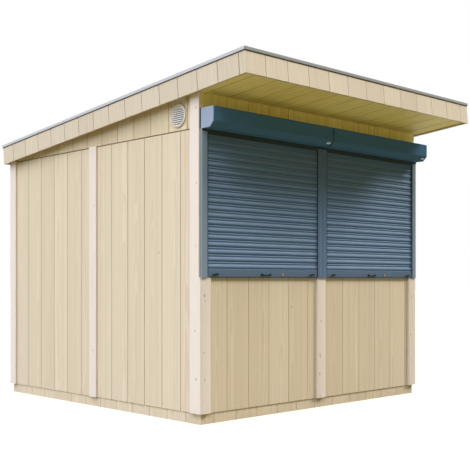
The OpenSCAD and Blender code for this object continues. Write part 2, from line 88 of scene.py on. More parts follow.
class NodeBench:
    """Adds nodes to one node tree and wires them together."""

    def __init__(self, tree: bpy.types.NodeTree) -> None:
        """Keeps the tree that the nodes go into."""
        self.tree = tree

    def feed(self, socket: Socket, value: Feed) -> None:
        """Links a socket to another one, or sets its value.

        Args:
            socket: The input to fill.
            value: An output socket to link from, or a plain value.
        """
        if isinstance(value, Socket):
            self.tree.links.new(value, socket)
        else:
            socket.default_value = value

    def add(self, kind: str, sockets: Optional[dict[str, Feed]] = None, **settings: Any) -> bpy.types.Node:
        """Adds one shader node.

        Args:
            kind: The node's type, without its ShaderNode prefix.
            sockets: Values or links for its inputs, by name.
            settings: Properties of the node.

        Returns:
            The new node.
        """
        node = self.tree.nodes.new("ShaderNode" + kind)
        for name, value in settings.items():
            setattr(node, name, value)
        for name, value in (sockets or {}).items():
            self.feed(node.inputs[name], value)
        return node

    def math(self, operation: str, *values: Feed) -> Socket:
        """Adds a Math node.

        Args:
            operation: The name of the operation.
            values: Its operands, in order.

        Returns:
            The result.
        """
        node = self.add("Math", operation=operation)
        for socket, value in zip(node.inputs, values):
            self.feed(socket, value)
        return node.outputs[0]

    def blend(self, factor: Feed, first: Feed, second: Feed) -> Socket:
        """Mixes two colours.

        Args:
            factor: Share of the second colour.
            first: The colour at factor 0.
            second: The colour at factor 1.

        Returns:
            The mixed colour.
        """
        node = self.add("Mix", data_type="RGBA")
        self.feed(node.inputs[0], factor)
        self.feed(node.inputs[6], first)
        self.feed(node.inputs[7], second)
        return node.outputs[2]

    def times(self, first: Feed, *others: Feed) -> Socket:
        """Returns the product of two or more values."""
        for value in others:
            first = self.math("MULTIPLY", first, value)
        return first

    def linear(self, value: Feed, gain: Feed, base: Feed) -> Socket:
        """Returns a value times a gain, plus a base."""
        return self.math("MULTIPLY_ADD", value, gain, base)

    def ramp(self, value: Feed, start: Feed, end: Feed) -> Socket:
        """Maps a value smoothly to 0 at start and 1 at end."""
        limits = {"Value": value, "From Min": start, "From Max": end}
        return self.add("MapRange", limits, interpolation_type="SMOOTHSTEP").outputs["Result"]

    def length(self, first: Feed, second: Feed) -> Socket:
        """Finds the length of a vector from two of its parts."""
        squares = [self.times(part, part) for part in (first, second)]
        return self.math("SQRT", self.math("ADD", *squares))

    def parts(self, vector: Feed) -> list[Socket]:
        """Returns the three parts of a vector."""
        return list(self.add("SeparateXYZ", {"Vector": vector}).outputs)

    def joined(self, parts: Sequence[Feed]) -> Socket:
        """Returns a vector made of three parts."""
        return self.add("CombineXYZ", dict(zip("XYZ", parts))).outputs["Vector"]

    def stretched(self, parts: Sequence[Feed], scales: Sequence[float]) -> Socket:
        """Returns a vector made of three parts, each with its own scale."""
        return self.joined([self.times(part, scale) for part, scale in zip(parts, scales)])

    def noise(self, vector: Feed, scale: Feed = 1.0, detail: float = 2.0) -> Socket:
        """Returns the value of a noise texture, from 0 to 1."""
        return self.add("TexNoise", {"Vector": vector, "Scale": scale, "Detail": detail}).outputs[0]


def blank_bench(owner: Union[bpy.types.Material, bpy.types.World]) -> NodeBench:
    """Returns the bench of a material's or a world's emptied node tree."""
    owner.use_nodes = True
    owner.node_tree.nodes.clear()
    return NodeBench(owner.node_tree)


class EffectGroup:
    """A shader node group with named inputs and outputs, shared by several finishes."""

    def __init__(self, name: str) -> None:
        """Starts an empty group.

        Args:
            name: The group's name.
        """
        self.tree = bpy.data.node_groups.new(name, "ShaderNodeTree")
        self.bench = NodeBench(self.tree)
        self.entry = self.tree.nodes.new("NodeGroupInput")
        self.exit = self.tree.nodes.new("NodeGroupOutput")

    def takes(self, name: str, kind: str, default: Any) -> Socket:
        """Adds an input.

        Args:
            name: The input's name.
            kind: Float, Vector or Color.
            default: Its value when nothing is linked.

        Returns:
            The socket inside the group.
        """
        socket = self.tree.interface.new_socket(name=name, in_out="INPUT", socket_type="NodeSocket" + kind)
        socket.default_value = default
        return self.entry.outputs[name]

    def gives(self, name: str, kind: str, value: Socket) -> None:
        """Adds an output and links it."""
        self.tree.interface.new_socket(name=name, in_out="OUTPUT", socket_type="NodeSocket" + kind)
        self.bench.feed(self.exit.inputs[name], value)

    def place(self, bench: NodeBench, sockets: dict[str, Feed]) -> bpy.types.Node:
        """Adds the group to a material."""
        return bench.add("Group", sockets, node_tree=self.tree)


class TimberGrain(EffectGroup):
    """The grain of a softwood board: year rings, fibres, streaks and knots.

    Grain is (across, depth, along) in metres from the middle of the board's foot, Board is the pith's place
    across and in depth with the board's tone, which also carries painted shade on the walls of joints and the
    sides of strips, and a set knot is its place across and along with its radius.
    """

    COLOURS = {"Early wood": (0.8, 0.7, 0.5), "Late wood": (0.6, 0.45, 0.28), "Knot": (0.25, 0.18, 0.12)}
    VALUES = {
        "Ring width": 0.008, "Ring share": 0.4, "Fibre share": 0.1, "Streak share": 0.1,
        "Knot step": 0.4, "Knot chance": 0.0, "Knot reach": 0.04, "Knot size": 0.006,
    }
    # Scales of the noise across, in depth and along
    WARP = (5.0, 5.0, 0.8)
    FIBRE = (420.0, 420.0, 7.0)
    STREAK = (36.0, 36.0, 0.4)
    DETAIL = 3.0
    # Drawn knots: where one lies in its stretch of the board, and its least size
    KNOT_RUN = (0.6, 0.2)
    KNOT_LEAST = 0.4
    # Shape of a knot: longer along the board, with a soft edge and a reach of bent rings in radii
    KNOT_SQUASH = 0.7
    KNOT_EDGE = (1.15, 0.65)
    BEND_EDGE = (6.0, 0.5)
    KNOT_COVER = 0.75
    LEAST_RADIUS = 1e-5
    # Rings: how many more along a metre, for the warp and round a knot, and how late wood comes and goes
    DRIFT = 0.9
    WARP_RINGS = 6.0
    BEND_RINGS = 2.4
    LATE_RISE = (0.2, 0.88)
    LATE_DROP = (1.0, 0.92)
    # Gain and base of what follows from streaks, tone and fibres; where the tone drops as painted shade, the
    # colour gets darker, warmer and redder
    STREAK_RINGS = (1.2, 0.4)
    SHADE_AND_TONE_WARMTH = (-1.0, 2.0)
    SHADE_AND_TONE_HUE = (0.05, 0.45)
    FIBRE_ROUGH = (0.22, 0.45)
    LATE_ROUGH = -0.06
    LATE_HEIGHT = 0.5

    def __init__(self) -> None:
        """Builds the group."""
        super().__init__("Timber grain")
        bench = self.bench
        across, depth, along = parts = bench.parts(self.takes("Grain", "Vector", (0.0, 0.0, 0.0)))
        pith_across, pith_depth, tone = bench.parts(self.takes("Board", "Vector", (0.03, -0.06, 1.0)))
        set_knots = [self.takes(name, "Vector", (0.0, 0.0, 0.0)) for name in ("Knot low", "Knot high")]
        colours = {name: self.takes(name, "Color", rgba(colour)) for name, colour in self.COLOURS.items()}
        self.values = {name: self.takes(name, "Float", value) for name, value in self.VALUES.items()}
        warp, fibre, streak = (
            bench.noise(bench.stretched(parts, scales), detail=self.DETAIL)
            for scales in (self.WARP, self.FIBRE, self.STREAK)
        )
        knots = [*(bench.parts(knot) for knot in set_knots), self._drawn_knot(along)]
        knot_mask, bend = self._knots(across, along, knots)
        radius = bench.length(
            bench.math("SUBTRACT", across, pith_across), bench.math("SUBTRACT", depth, pith_depth)
        )
        late = self._late_wood(radius, along, warp, bend)

        share = bench.times(late, self.values["Ring share"], bench.linear(streak, *self.STREAK_RINGS))
        light = bench.linear(bench.math("SUBTRACT", fibre, 0.5), self.values["Fibre share"], tone)
        light = bench.linear(bench.math("SUBTRACT", streak, 0.5), self.values["Streak share"], light)
        toned = bench.add("HueSaturation", {
            "Hue": bench.linear(tone, *self.SHADE_AND_TONE_HUE),
            "Saturation": bench.linear(tone, *self.SHADE_AND_TONE_WARMTH),
            "Value": light,
            "Color": bench.blend(share, colours["Early wood"], colours["Late wood"]),
        })
        cover = bench.times(knot_mask, self.KNOT_COVER)
        rough = bench.linear(fibre, *self.FIBRE_ROUGH)
        self.gives("Color", "Color", bench.blend(cover, toned.outputs["Color"], colours["Knot"]))
        self.gives("Roughness", "Float", bench.linear(late, self.LATE_ROUGH, rough))
        self.gives("Height", "Float", bench.linear(late, self.LATE_HEIGHT, fibre))

    def _drawn_knot(self, along: Feed) -> list[Socket]:
        """Draws one knot for each stretch of a board.

        Args:
            along: Place along the board.

        Returns:
            Its place across and along, and its radius, which is 0 where the stretch has none.
        """
        bench, values = self.bench, self.values
        stretch = bench.math("FLOOR", bench.math("DIVIDE", along, values["Knot step"]))
        drawn = bench.add("TexWhiteNoise", {"W": stretch}, noise_dimensions="1D").outputs
        across, run, size = bench.parts(drawn["Color"])
        place = bench.math("ADD", stretch, bench.linear(run, *self.KNOT_RUN))
        radius = bench.times(bench.math("ADD", size, self.KNOT_LEAST), values["Knot size"])
        return [
            bench.times(bench.math("SUBTRACT", across, 0.5), values["Knot reach"]),
            bench.times(place, values["Knot step"]),
            bench.times(radius, bench.math("LESS_THAN", drawn["Value"], values["Knot chance"])),
        ]

    def _knots(self, across: Feed, along: Feed, knots: Sequence[Sequence[Feed]]) -> tuple[Feed, Feed]:
        """Finds where the knots are and how the rings bend round them.

        Args:
            across: Place across the board.
            along: Place along the board.
            knots: Place across and along, and radius, of each knot.

        Returns:
            The mask of the knots, and the bend of the rings.
        """
        bench = self.bench
        mask: Feed = 0.0
        bend: Feed = 0.0
        for knot_across, knot_along, radius in knots:
            side = bench.math("SUBTRACT", across, knot_across)
            rise = bench.times(bench.math("SUBTRACT", along, knot_along), self.KNOT_SQUASH)
            radius = bench.math("MAXIMUM", radius, self.LEAST_RADIUS)
            radii = bench.math("DIVIDE", bench.length(side, rise), radius)
            mask = bench.math("MAXIMUM", mask, bench.ramp(radii, *self.KNOT_EDGE))
            bend = bench.math("ADD", bend, bench.ramp(radii, *self.BEND_EDGE))
        return mask, bend

    def _late_wood(self, radius: Feed, along: Feed, warp: Feed, bend: Feed) -> Socket:
        """Finds the late wood of the year rings.

        Args:
            radius: Distance from the pith.
            along: Place along the board.
            warp: Slow waves of the rings.
            bend: Bend of the rings round knots.

        Returns:
            The mask of the late wood.
        """
        bench = self.bench
        rings = bench.linear(along, self.DRIFT, bench.math("DIVIDE", radius, self.values["Ring width"]))
        rings = bench.linear(warp, self.WARP_RINGS, rings)
        rings = bench.linear(bend, self.BEND_RINGS, rings)
        year = bench.math("FRACT", rings)
        return bench.times(bench.ramp(year, *self.LATE_RISE), bench.ramp(year, *self.LATE_DROP))


class DustAndSheen(EffectGroup):
    """Light soiling and painted highlight: dust on faces that look up and splashes near the ground, put out
    as one mask; on the slats the mask on faces that look up is a painted highlight.
    """

    VALUES = {"Dust": 0.3, "Splash": 0.2, "Dust from": 0.35, "Evenness": 0.0}
    PATCH_SCALE = 9.0
    PATCH_DETAIL = 4.0
    PATCH_EDGE = (0.05, 0.7)
    SPECKLE_SCALE = 120.0
    SPECKLE_EDGE = (0.35, 0.7)
    DUST_AND_SHEEN_RANGE = 0.6
    SPLASH_HEIGHT = 0.28

    def __init__(self) -> None:
        """Builds the group."""
        super().__init__("DustAndSheen")
        bench = self.bench
        values = {name: self.takes(name, "Float", value) for name, value in self.VALUES.items()}
        geometry = bench.add("NewGeometry").outputs
        facing_up = bench.parts(geometry["Normal"])[2]
        height = bench.parts(geometry["Position"])[2]
        patches = bench.noise(geometry["Position"], self.PATCH_SCALE, self.PATCH_DETAIL)
        speckle = bench.noise(geometry["Position"], self.SPECKLE_SCALE)
        full_dust_and_sheen = bench.math("ADD", values["Dust from"], self.DUST_AND_SHEEN_RANGE)
        # On the slats this mask, spread far down and made even, is a painted highlight on faces that look up
        dust = bench.times(bench.ramp(facing_up, values["Dust from"], full_dust_and_sheen), values["Dust"])
        splash = bench.times(bench.ramp(height, self.SPLASH_HEIGHT, 0.0), values["Splash"])
        splash = bench.times(splash, bench.ramp(speckle, *self.SPECKLE_EDGE))
        cover = bench.math("MAXIMUM", bench.ramp(patches, *self.PATCH_EDGE), values["Evenness"])
        self.gives("Mask", "Float", bench.times(bench.math("ADD", dust, splash), cover))


class CoatingTexture(EffectGroup):
    """The texture of a sprayed or moulded skin: fine pebbling and cloudy gloss."""

    CLOUD_SCALE = 7.0
    CLOUD_DETAIL = 3.0
    CLOUD_ROUGH = 0.12
    CLOUD_TONE = (0.14, 0.93)

    def __init__(self) -> None:
        """Builds the group."""
        super().__init__("Coating texture")
        bench = self.bench
        rough = self.takes("Roughness", "Float", 0.4)
        pebble_scale = self.takes("Pebble scale", "Float", 600.0)
        place = bench.add("TexCoord").outputs["Object"]
        clouds = bench.noise(place, self.CLOUD_SCALE, self.CLOUD_DETAIL)
        self.gives("Height", "Float", bench.noise(place, pebble_scale))
        self.gives("Roughness", "Float", bench.linear(clouds, self.CLOUD_ROUGH, rough))
        self.gives("Tone", "Float", bench.linear(clouds, *self.CLOUD_TONE))


class Effects:
    """The shared effects."""

    def __init__(self) -> None:
        """Builds each group once."""
        self.timber = TimberGrain()
        self.soil = DustAndSheen()
        self.coating = CoatingTexture()


# Finishes


class GrainRun(Enum):
    """Where the grain comes from: each board's own lie, or the hut's axes across, in depth and along it."""

    BOARDS = ()
    ALONG_Y = (0, 2, 1)
    ALONG_Z = (0, 1, 2)


@dataclass(frozen=True)
class TimberFinish:
    """Planed or sawn softwood."""

    name: str
    slot: str
    early: Colour
    late: Colour
    knot: Colour = (0.30, 0.20, 0.12)
    soil: Colour = (0.34, 0.28, 0.20)
    ring_width: float = 0.008
    ring_share: float = 0.30
    fibre_share: float = 0.10
    streak_share: float = 0.10
    knot_chance: float = 0.06
    knot_reach: float = 0.14
    knot_step: float = 0.55
    knot_size: float = 0.006
    dust: float = 0.08
    splash: float = 0.10
    specular: float = 0.25
    bump: float = 0.0005
    bump_share: float = 0.6
    run: GrainRun = GrainRun.BOARDS

    def _grain(self, bench: NodeBench) -> dict[str, Feed]:
        """Finds the grain's coordinates: those stored on each board, or the place in the hut.

        Args:
            bench: The material's bench.

        Returns:
            Links for the inputs of the timber group.
        """
        if self.run is GrainRun.BOARDS:
            sockets = ("Grain", "Board", "Knot low", "Knot high")
            return {
                socket: bench.add("Attribute", attribute_name=layer).outputs["Vector"]
                for socket, layer in zip(sockets, PieceMesh.LAYERS)
            }
        place = bench.parts(bench.add("TexCoord").outputs["Object"])
        return {"Grain": bench.joined([place[i] for i in self.run.value])}

    def shade(self, bench: NodeBench, effects: Effects) -> bpy.types.Node:
        """Wires the finish.

        Args:
            bench: The material's bench.
            effects: The shared effect groups.

        Returns:
            The Principled BSDF node.
        """
        # The group's plain values have the names of this finish's fields
        timber = effects.timber.place(bench, {
            **self._grain(bench),
            "Early wood": rgba(self.early),
            "Late wood": rgba(self.late),
            "Knot": rgba(self.knot),
            **{name: getattr(self, name.lower().replace(" ", "_")) for name in TimberGrain.VALUES},
        })
        soil = effects.soil.place(bench, {"Dust": self.dust, "Splash": self.splash})
        colour = bench.blend(soil.outputs["Mask"], timber.outputs["Color"], rgba(self.soil))
        bump = bench.add("Bump", {
            "Height": timber.outputs["Height"], "Strength": self.bump_share, "Distance": self.bump,
        })
        return bench.add("BsdfPrincipled", {
            "Base Color": colour,
            "Roughness": timber.outputs["Roughness"],
            "Normal": bump.outputs["Normal"],
            "Specular IOR Level": self.specular,
        })


@dataclass(frozen=True)
class SkinFinish:
    """A sprayed, moulded or bare skin on metal, plastic or sheet."""

    name: str
    slot: str
    colour: Colour
    soil: Colour = (0.34, 0.33, 0.30)
    roughness: float = 0.38
    metallic: float = 0.0
    specular: float = 0.5
    pebble_scale: float = 600.0
    pebble: float = 0.00012
    pebble_share: float = 0.5
    # On the slats, dust on faces that look up stands for a painted highlight
    dust: float = 0.2
    dust_from: float = 0.35
    evenness: float = 0.0

    def shade(self, bench: NodeBench, effects: Effects) -> bpy.types.Node:
        """Wires the finish.

        Args:
            bench: The material's bench.
            effects: The shared effect groups.

        Returns:
            The Principled BSDF node.
        """
        skin = effects.coating.place(bench, {"Roughness": self.roughness, "Pebble scale": self.pebble_scale})
        soil = effects.soil.place(bench, {
            "Dust": self.dust, "Splash": 0.0, "Dust from": self.dust_from, "Evenness": self.evenness,
        })
        toned = bench.add("HueSaturation", {"Value": skin.outputs["Tone"], "Color": rgba(self.colour)})
        colour = bench.blend(soil.outputs["Mask"], toned.outputs["Color"], rgba(self.soil))
        bump = bench.add("Bump", {
            "Height": skin.outputs["Height"], "Strength": self.pebble_share, "Distance": self.pebble,
        })
        return bench.add("BsdfPrincipled", {
            "Base Color": colour,
            "Roughness": skin.outputs["Roughness"],
            "Normal": bump.outputs["Normal"],
            "Metallic": self.metallic,
            "Specular IOR Level": self.specular,
        })


Finish = Union[TimberFinish, SkinFinish]


def satin_paint(name: str, colour: Colour, **more: Any) -> SkinFinish:
    """Returns one of the satin coatings of the shutters."""
    return SkinFinish(name, "shutter_paint", colour, roughness=0.55, specular=0.02, **more)


def trim_metal(name: str, colour: Colour) -> SkinFinish:
    """Returns the dull metal of the roof's edge trim."""
    return SkinFinish(name, "edge_trim", colour, roughness=0.7, metallic=0.15, specular=0.2)


BOARDING = TimberFinish(
    "boarding", "boarding", (0.728, 0.607, 0.428), (0.57, 0.43, 0.25), ring_share=0.33, streak_share=0.24
)
# A darker, warmer copy of the boarding for the gables: painted shade of the roof's overhang
GABLE_SHADED_BOARDING = TimberFinish(
    "gable_shaded_boarding", "boarding", (0.675, 0.555, 0.365), (0.53, 0.39, 0.21),
    ring_share=0.33, streak_share=0.24,
)
# Strong golden copies of the boarding for the soffit and the header: painted golden bounce light in the
# canopy's shade
CANOPY_GOLDEN_SHADE_BOARDING = TimberFinish(
    "canopy_golden_shade_boarding", "boarding", (0.985, 0.83, 0.325), (0.68, 0.45, 0.13), ring_share=0.45, streak_share=0.3
)
HEADER_GOLDEN_SHADE_BOARDING = TimberFinish(
    "header_golden_shade_boarding", "boarding", (1.0, 0.85, 0.275), (0.78, 0.49, 0.11), ring_share=0.55, streak_share=0.4
)
FASCIA_BOARDING = TimberFinish("fascia_boarding", "fascia", (0.675, 0.57, 0.415), (0.54, 0.425, 0.26))
STRIP_WOOD = TimberFinish(
    "strip_wood", "cover_strip", (0.82, 0.715, 0.60), (0.73, 0.595, 0.455), ring_share=0.3, streak_share=0.07,
    knot=(0.45, 0.36, 0.29), knot_chance=0.55, knot_reach=0.05, knot_step=0.30, knot_size=0.006,
)
JAMB_TIMBER = TimberFinish(
    "jamb_timber", "boarding", (0.70, 0.58, 0.41), (0.55, 0.41, 0.24), run=GrainRun.ALONG_Z
)
FRAME_TIMBER = TimberFinish(
    "frame_timber", "rough_timber", (0.62, 0.48, 0.30), (0.46, 0.32, 0.17), run=GrainRun.ALONG_Z
)
FLOOR_TIMBER = TimberFinish(
    "floor_timber", "rough_timber", (0.58, 0.45, 0.28), (0.42, 0.30, 0.16), run=GrainRun.ALONG_Y
)
SHUTTER_PAINT = satin_paint("shutter_paint", (0.125, 0.18, 0.26))
# Pale blue-grey on faces that look up: a painted highlight along the top of each slat
SLAT_PAINT_AND_HIGHLIGHT = satin_paint(
    "slat_paint_and_highlight", (0.088, 0.165, 0.265), soil=(0.44, 0.51, 0.64), dust=0.36, dust_from=-0.35, evenness=0.85
)
# One guide paint in two copies: lighter on the outer guides as painted light, darker on the middle guides as
# painted shade
OUTER_GUIDE_LIT_PAINT = satin_paint("outer_guide_lit_paint", (0.24, 0.305, 0.375))
MIDDLE_GUIDE_SHADED_PAINT = satin_paint("middle_guide_shaded_paint", (0.132, 0.20, 0.305))
# Darker, bluer copy of the shutter paint for the boxes: painted shade of the canopy
BOX_SHADED_PAINT = satin_paint("box_shaded_paint", (0.073, 0.17, 0.30))
# Near black paint for the inner caps: painted shade in the joint between the boxes
JOINT_SHADE_PAINT = satin_paint("joint_shade_paint", (0.025, 0.05, 0.08))
# Grey foam in the rebates of the guides: painted shade at the wall
GUIDE_SHADE_FOAM = SkinFinish("guide_shade_foam", "latch_plastic", (0.23, 0.235, 0.225), roughness=0.8, specular=0.1)
CAP_PAINT = SkinFinish("cap_paint", "end_cap_paint", (0.28, 0.34, 0.43), roughness=0.45)
# Dark plastic of the brushes, which are real, and of the collars and lips, which paint the shade under the
# boxes
SEAL_AND_SHADE_PLASTIC = SkinFinish(
    "seal_and_shade_plastic", "latch_plastic", (0.034, 0.046, 0.047), roughness=0.6, specular=0.1
)
# Black plastic of the latches and rail seals, and of the cap beds, which paint the shade behind the outer
# caps
LATCH_AND_SHADE_PLASTIC = SkinFinish(
    "latch_plastic", "latch_plastic", (0.010, 0.015, 0.022), roughness=0.5, specular=0.1
)
KEY_BRASS = SkinFinish("key_brass", "key_brass", (0.36, 0.29, 0.12), roughness=0.45, metallic=0.8, dust=0.05)
STEEL = SkinFinish(
    "fitting_steel", "steel_fittings", (0.34, 0.36, 0.34), roughness=0.42, metallic=1.0, dust=0.05
)
# One trim metal in two copies: lighter on the sides as painted light, darker on the front and back as painted
# shade
SIDE_TRIM_LIT_METAL = trim_metal("trim_metal", (0.50, 0.50, 0.485))
END_TRIM_SHADED_METAL = trim_metal("end_trim_shaded_metal", (0.25, 0.247, 0.225))
# Dark strip under the trim: painted shadow line below it
TRIM_SHADE_STRIP = SkinFinish("trim_shade_strip", "roof_membrane", (0.10, 0.09, 0.068), roughness=0.75, specular=0.2)
MEMBRANE = SkinFinish(
    "membrane", "roof_membrane", (0.055, 0.056, 0.06), roughness=0.72, pebble_scale=350.0, pebble=0.0008
)
VENT_PLASTIC = SkinFinish("vent_plastic", "vent_plastic", (0.75, 0.695, 0.60), roughness=0.45, dust=0.05)
SCREEN_WIRE = SkinFinish("screen_wire", "vent_plastic", (0.10, 0.10, 0.095), roughness=0.6, dust=0.05)


class Workshop:
    """Makes each finish's material once, dresses the pieces and fixes them to the hut."""

    def __init__(self) -> None:
        """Builds the shared effects."""
        self.effects = Effects()
        self.materials: dict[str, bpy.types.Material] = {}

    def material(self, finish: Finish) -> bpy.types.Material:
        """Finds or makes the material of a finish.

        Args:
            finish: The finish.

        Returns:
            Its material.
        """
        if finish.name not in self.materials:
            material = bpy.data.materials.new(finish.name)
            bench = blank_bench(material)
            shader = finish.shade(bench, self.effects)
            bench.add("OutputMaterial", {"Surface": shader.outputs["BSDF"]})
            self.materials[finish.name] = material
        return self.materials[finish.name]

    def deliver(self, piece: bpy.types.Object, finish: Finish, *nodes: str) -> None:
        """Dresses a piece and fixes it to the hut.

        Args:
            piece: The new object.
            finish: Its finish.
            nodes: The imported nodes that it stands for.
        """
        piece.data.materials.append(self.material(finish))
        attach(piece, BODY)
        if nodes:
            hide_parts(*nodes)
        LOG.info("%s: %d faces, in place of %s", piece.name, len(piece.data.polygons), nodes or "no node")

    def dress_node(self, node: str, finish: Finish) -> None:
        """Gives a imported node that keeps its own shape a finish.

        Args:
            node: The node's name.
            finish: The finish.
        """
        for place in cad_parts[node].material_slots:
            place.material = self.material(finish)
        LOG.info("%s: packed shape in %s", node, finish.name)


# Mesh making


def corner_arc(
    before: Point2, corner: Point2, after: Point2, radius: float, steps: int = CORNER_STEPS
) -> list[Point2]:
    """Rounds one corner of an outline.

    Args:
        before: The point before the corner.
        corner: The corner.
        after: The point after the corner.
        radius: Radius of the rounding.
        steps: Number of segments of the arc.

    Returns:
        The points that take the corner's place.
    """
    here = Vector(corner)
    back = (Vector(before) - here).normalized()
    ahead = (Vector(after) - here).normalized()
    half_angle = back.angle(ahead) / 2
    run = radius / math.tan(half_angle)
    centre = here + (back + ahead).normalized() * (radius / math.sin(half_angle))
    start = here + back * run - centre
    end = here + ahead * run - centre
    turn = math.atan2(start.x * end.y - start.y * end.x, start.dot(end))
    points = []
    for step in range(steps + 1):
        angle = turn * step / steps
        x = start.x * math.cos(angle) - start.y * math.sin(angle)
        y = start.x * math.sin(angle) + start.y * math.cos(angle)
        points.append((centre.x + x, centre.y + y))
    return points


def rounded(outline: Sequence[Point2], radius: float, steps: int = CORNER_STEPS) -> list[Point2]:
    """Rounds every corner of an outline.

    Args:
        outline: The corners, in order.
        radius: Radius of the rounding.
        steps: Number of segments for each corner.

    Returns:
        The rounded outline.
    """
    points: list[Point2] = []
    for i, corner in enumerate(outline):
        points += corner_arc(outline[i - 1], corner, outline[(i + 1) % len(outline)], radius, steps)
    return points


def rectangle(x0: float, x1: float, y0: float, y1: float) -> list[Point2]:
    """Returns the four corners of a rectangle, in order."""
    return [(x0, y0), (x1, y0), (x1, y1), (x0, y1)]


def disc(radius: float, steps: int, x: float = 0.0, y: float = 0.0) -> list[Point2]:
    """Returns the outline of a disc about a centre."""
    turns = [math.tau * step / steps for step in range(steps)]
    return [(x + radius * math.cos(turn), y + radius * math.sin(turn)) for turn in turns]


def chord(height: float, radius: float) -> float:
    """Returns half the width of a disc at a height from its middle, and a trace beyond its edge."""
    return math.sqrt(max(radius * radius - height * height, LEAST_CHORD * LEAST_CHORD))


def level(height: float) -> Reach:
    """Returns a reach that is the same for every point of a section."""
    return lambda u, v: height


def axes(origin: Vector, first: Vector, second: Vector, third: Vector) -> Matrix:
    """Returns the place of a frame from its origin and its three axes."""
    return Matrix.Translation(origin) @ Matrix((first, second, third)).transposed().to_4x4()


@dataclass
class BoardGrain:
    """How the grain of one board lies: its middle, its pith, its start along the log, tone and knots."""

    centre: float
    pith: Point2
    offset: float
    tone: float
    knots: Sequence[Vector] = ()

    PITH_ACROSS: ClassVar[Point2] = (-0.07, 0.07)
    PITH_BELOW: ClassVar[Point2] = (0.03, 0.10)
    LOG_LENGTH: ClassVar[float] = 30.0
    MOST_SPREADS: ClassVar[float] = 2.0
    LEAST_TONE: ClassVar[float] = 0.1

    @classmethod
    def drawn(
        cls, dice: random.Random, centre: float, spread: float = 0.018, knots: Sequence[Vector] = ()
    ) -> "BoardGrain":
        """Draws the grain of a board.

        Args:
            dice: The random source.
            centre: Middle of the board, across it.
            spread: How much boards differ in tone.
            knots: Set knots: across from the middle, along, and radius.

        Returns:
            The grain.
        """
        tone = 1.0 + max(-cls.MOST_SPREADS, min(cls.MOST_SPREADS, dice.gauss(0.0, 1.0))) * spread
        pith = (dice.uniform(*cls.PITH_ACROSS), -dice.uniform(*cls.PITH_BELOW))
        return cls(centre, pith, dice.uniform(0.0, cls.LOG_LENGTH), tone, knots)


class PieceMesh:
    """Collects prisms and turned rings into one mesh, with each board's grain stored on its points."""

    LAYERS = ("grain", "board", "knot_low", "knot_high")

    def __init__(self, name: str) -> None:
        """Starts an empty mesh.

        Args:
            name: Name of the piece.
        """
        self.name = name
        self.shape = bmesh.new()
        vectors = self.shape.verts.layers.float_vector
        self.grain, self.board, *self.knots = [vectors.new(layer) for layer in self.LAYERS]

    def prism(
        self,
        section: Sequence[SectionPoint],
        start: Union[float, Reach],
        end: Union[float, Reach],
        place: Matrix,
        grain: Optional[BoardGrain] = None,
    ) -> None:
        """Adds a prism along the third axis of its place.

        Args:
            section: Outline in the first two axes of the place, with a tone where a point gets painted shade.
            start: Where the prism starts, or a function of the point of the section.
            end: Where it ends, or a function of the point of the section.
            place: From the prism's own axes to the hut's.
            grain: The grain of the board, where it is one.
        """
        rings = []
        for reach in (start, end):
            reach_at = reach if callable(reach) else level(reach)
            ring = []
            # A third number in a section point is the painted shade of that point
            for u, v, *tone in section:
                local = Vector((u, v, reach_at(u, v)))
                vertex = self.shape.verts.new(place @ local)
                if grain is not None:
                    self._store(vertex, local, grain, *tone)
                ring.append(vertex)
            rings.append(ring)
        foot, head = rings
        self.shape.faces.new(foot)
        self.shape.faces.new(list(reversed(head)))
        for i in range(len(section)):
            self.shape.faces.new((foot[i], foot[i - 1], head[i - 1], head[i]))

    def _store(self, vertex: bmesh.types.BMVert, local: Vector, grain: BoardGrain, tone: float = 1.0) -> None:
        """Stores the grain on one point.

        Args:
            vertex: The point.
            local: Its place in the board.
            grain: The board's grain.
            tone: How bright the point is next to the face of the board, as painted shade.
        """
        vertex[self.grain] = (local.x - grain.centre, local.y, local.z + grain.offset)
        vertex[self.board] = (*grain.pith, grain.tone * tone)
        for layer, knot in zip(self.knots, grain.knots):
            vertex[layer] = (knot.x, knot.y + grain.offset, knot.z)

    def ring(self, profile: Sequence[Point2], place: Matrix, steps: int = 64) -> None:
        """Adds a turned ring about the third axis of its place.

        Args:
            profile: Closed outline as radius and height.
            place: From the ring's own axes to the hut's.
            steps: Number of segments round it.
        """
        spokes = []
        for step in range(steps):
            turn = Matrix.Rotation(math.tau * step / steps, 4, "Z")
            points = [place @ turn @ Vector((radius, 0.0, height)) for radius, height in profile]
            spokes.append([self.shape.verts.new(point) for point in points])
        for i, spoke in enumerate(spokes):
            before = spokes[i - 1]
            for j in range(len(profile)):
                self.shape.faces.new((before[j - 1], spoke[j - 1], spoke[j], before[j]))

    def finish(self, smooth_deg: float = 35.0) -> bpy.types.Object:
        """Turns the collected shapes into an object.

        Args:
            smooth_deg: Edges flatter than this are shaded smooth.

        Returns:
            The object, linked into the scene.
        """
        bmesh.ops.recalc_face_normals(self.shape, faces=self.shape.faces)
        mesh = bpy.data.meshes.new(self.name)
        self.shape.to_mesh(mesh)
        self.shape.free()
        mesh.polygons.foreach_set("use_smooth", [True] * len(mesh.polygons))
        mesh.set_sharp_from_angle(angle=math.radians(smooth_deg))
        return put_in_scene(self.name, mesh)


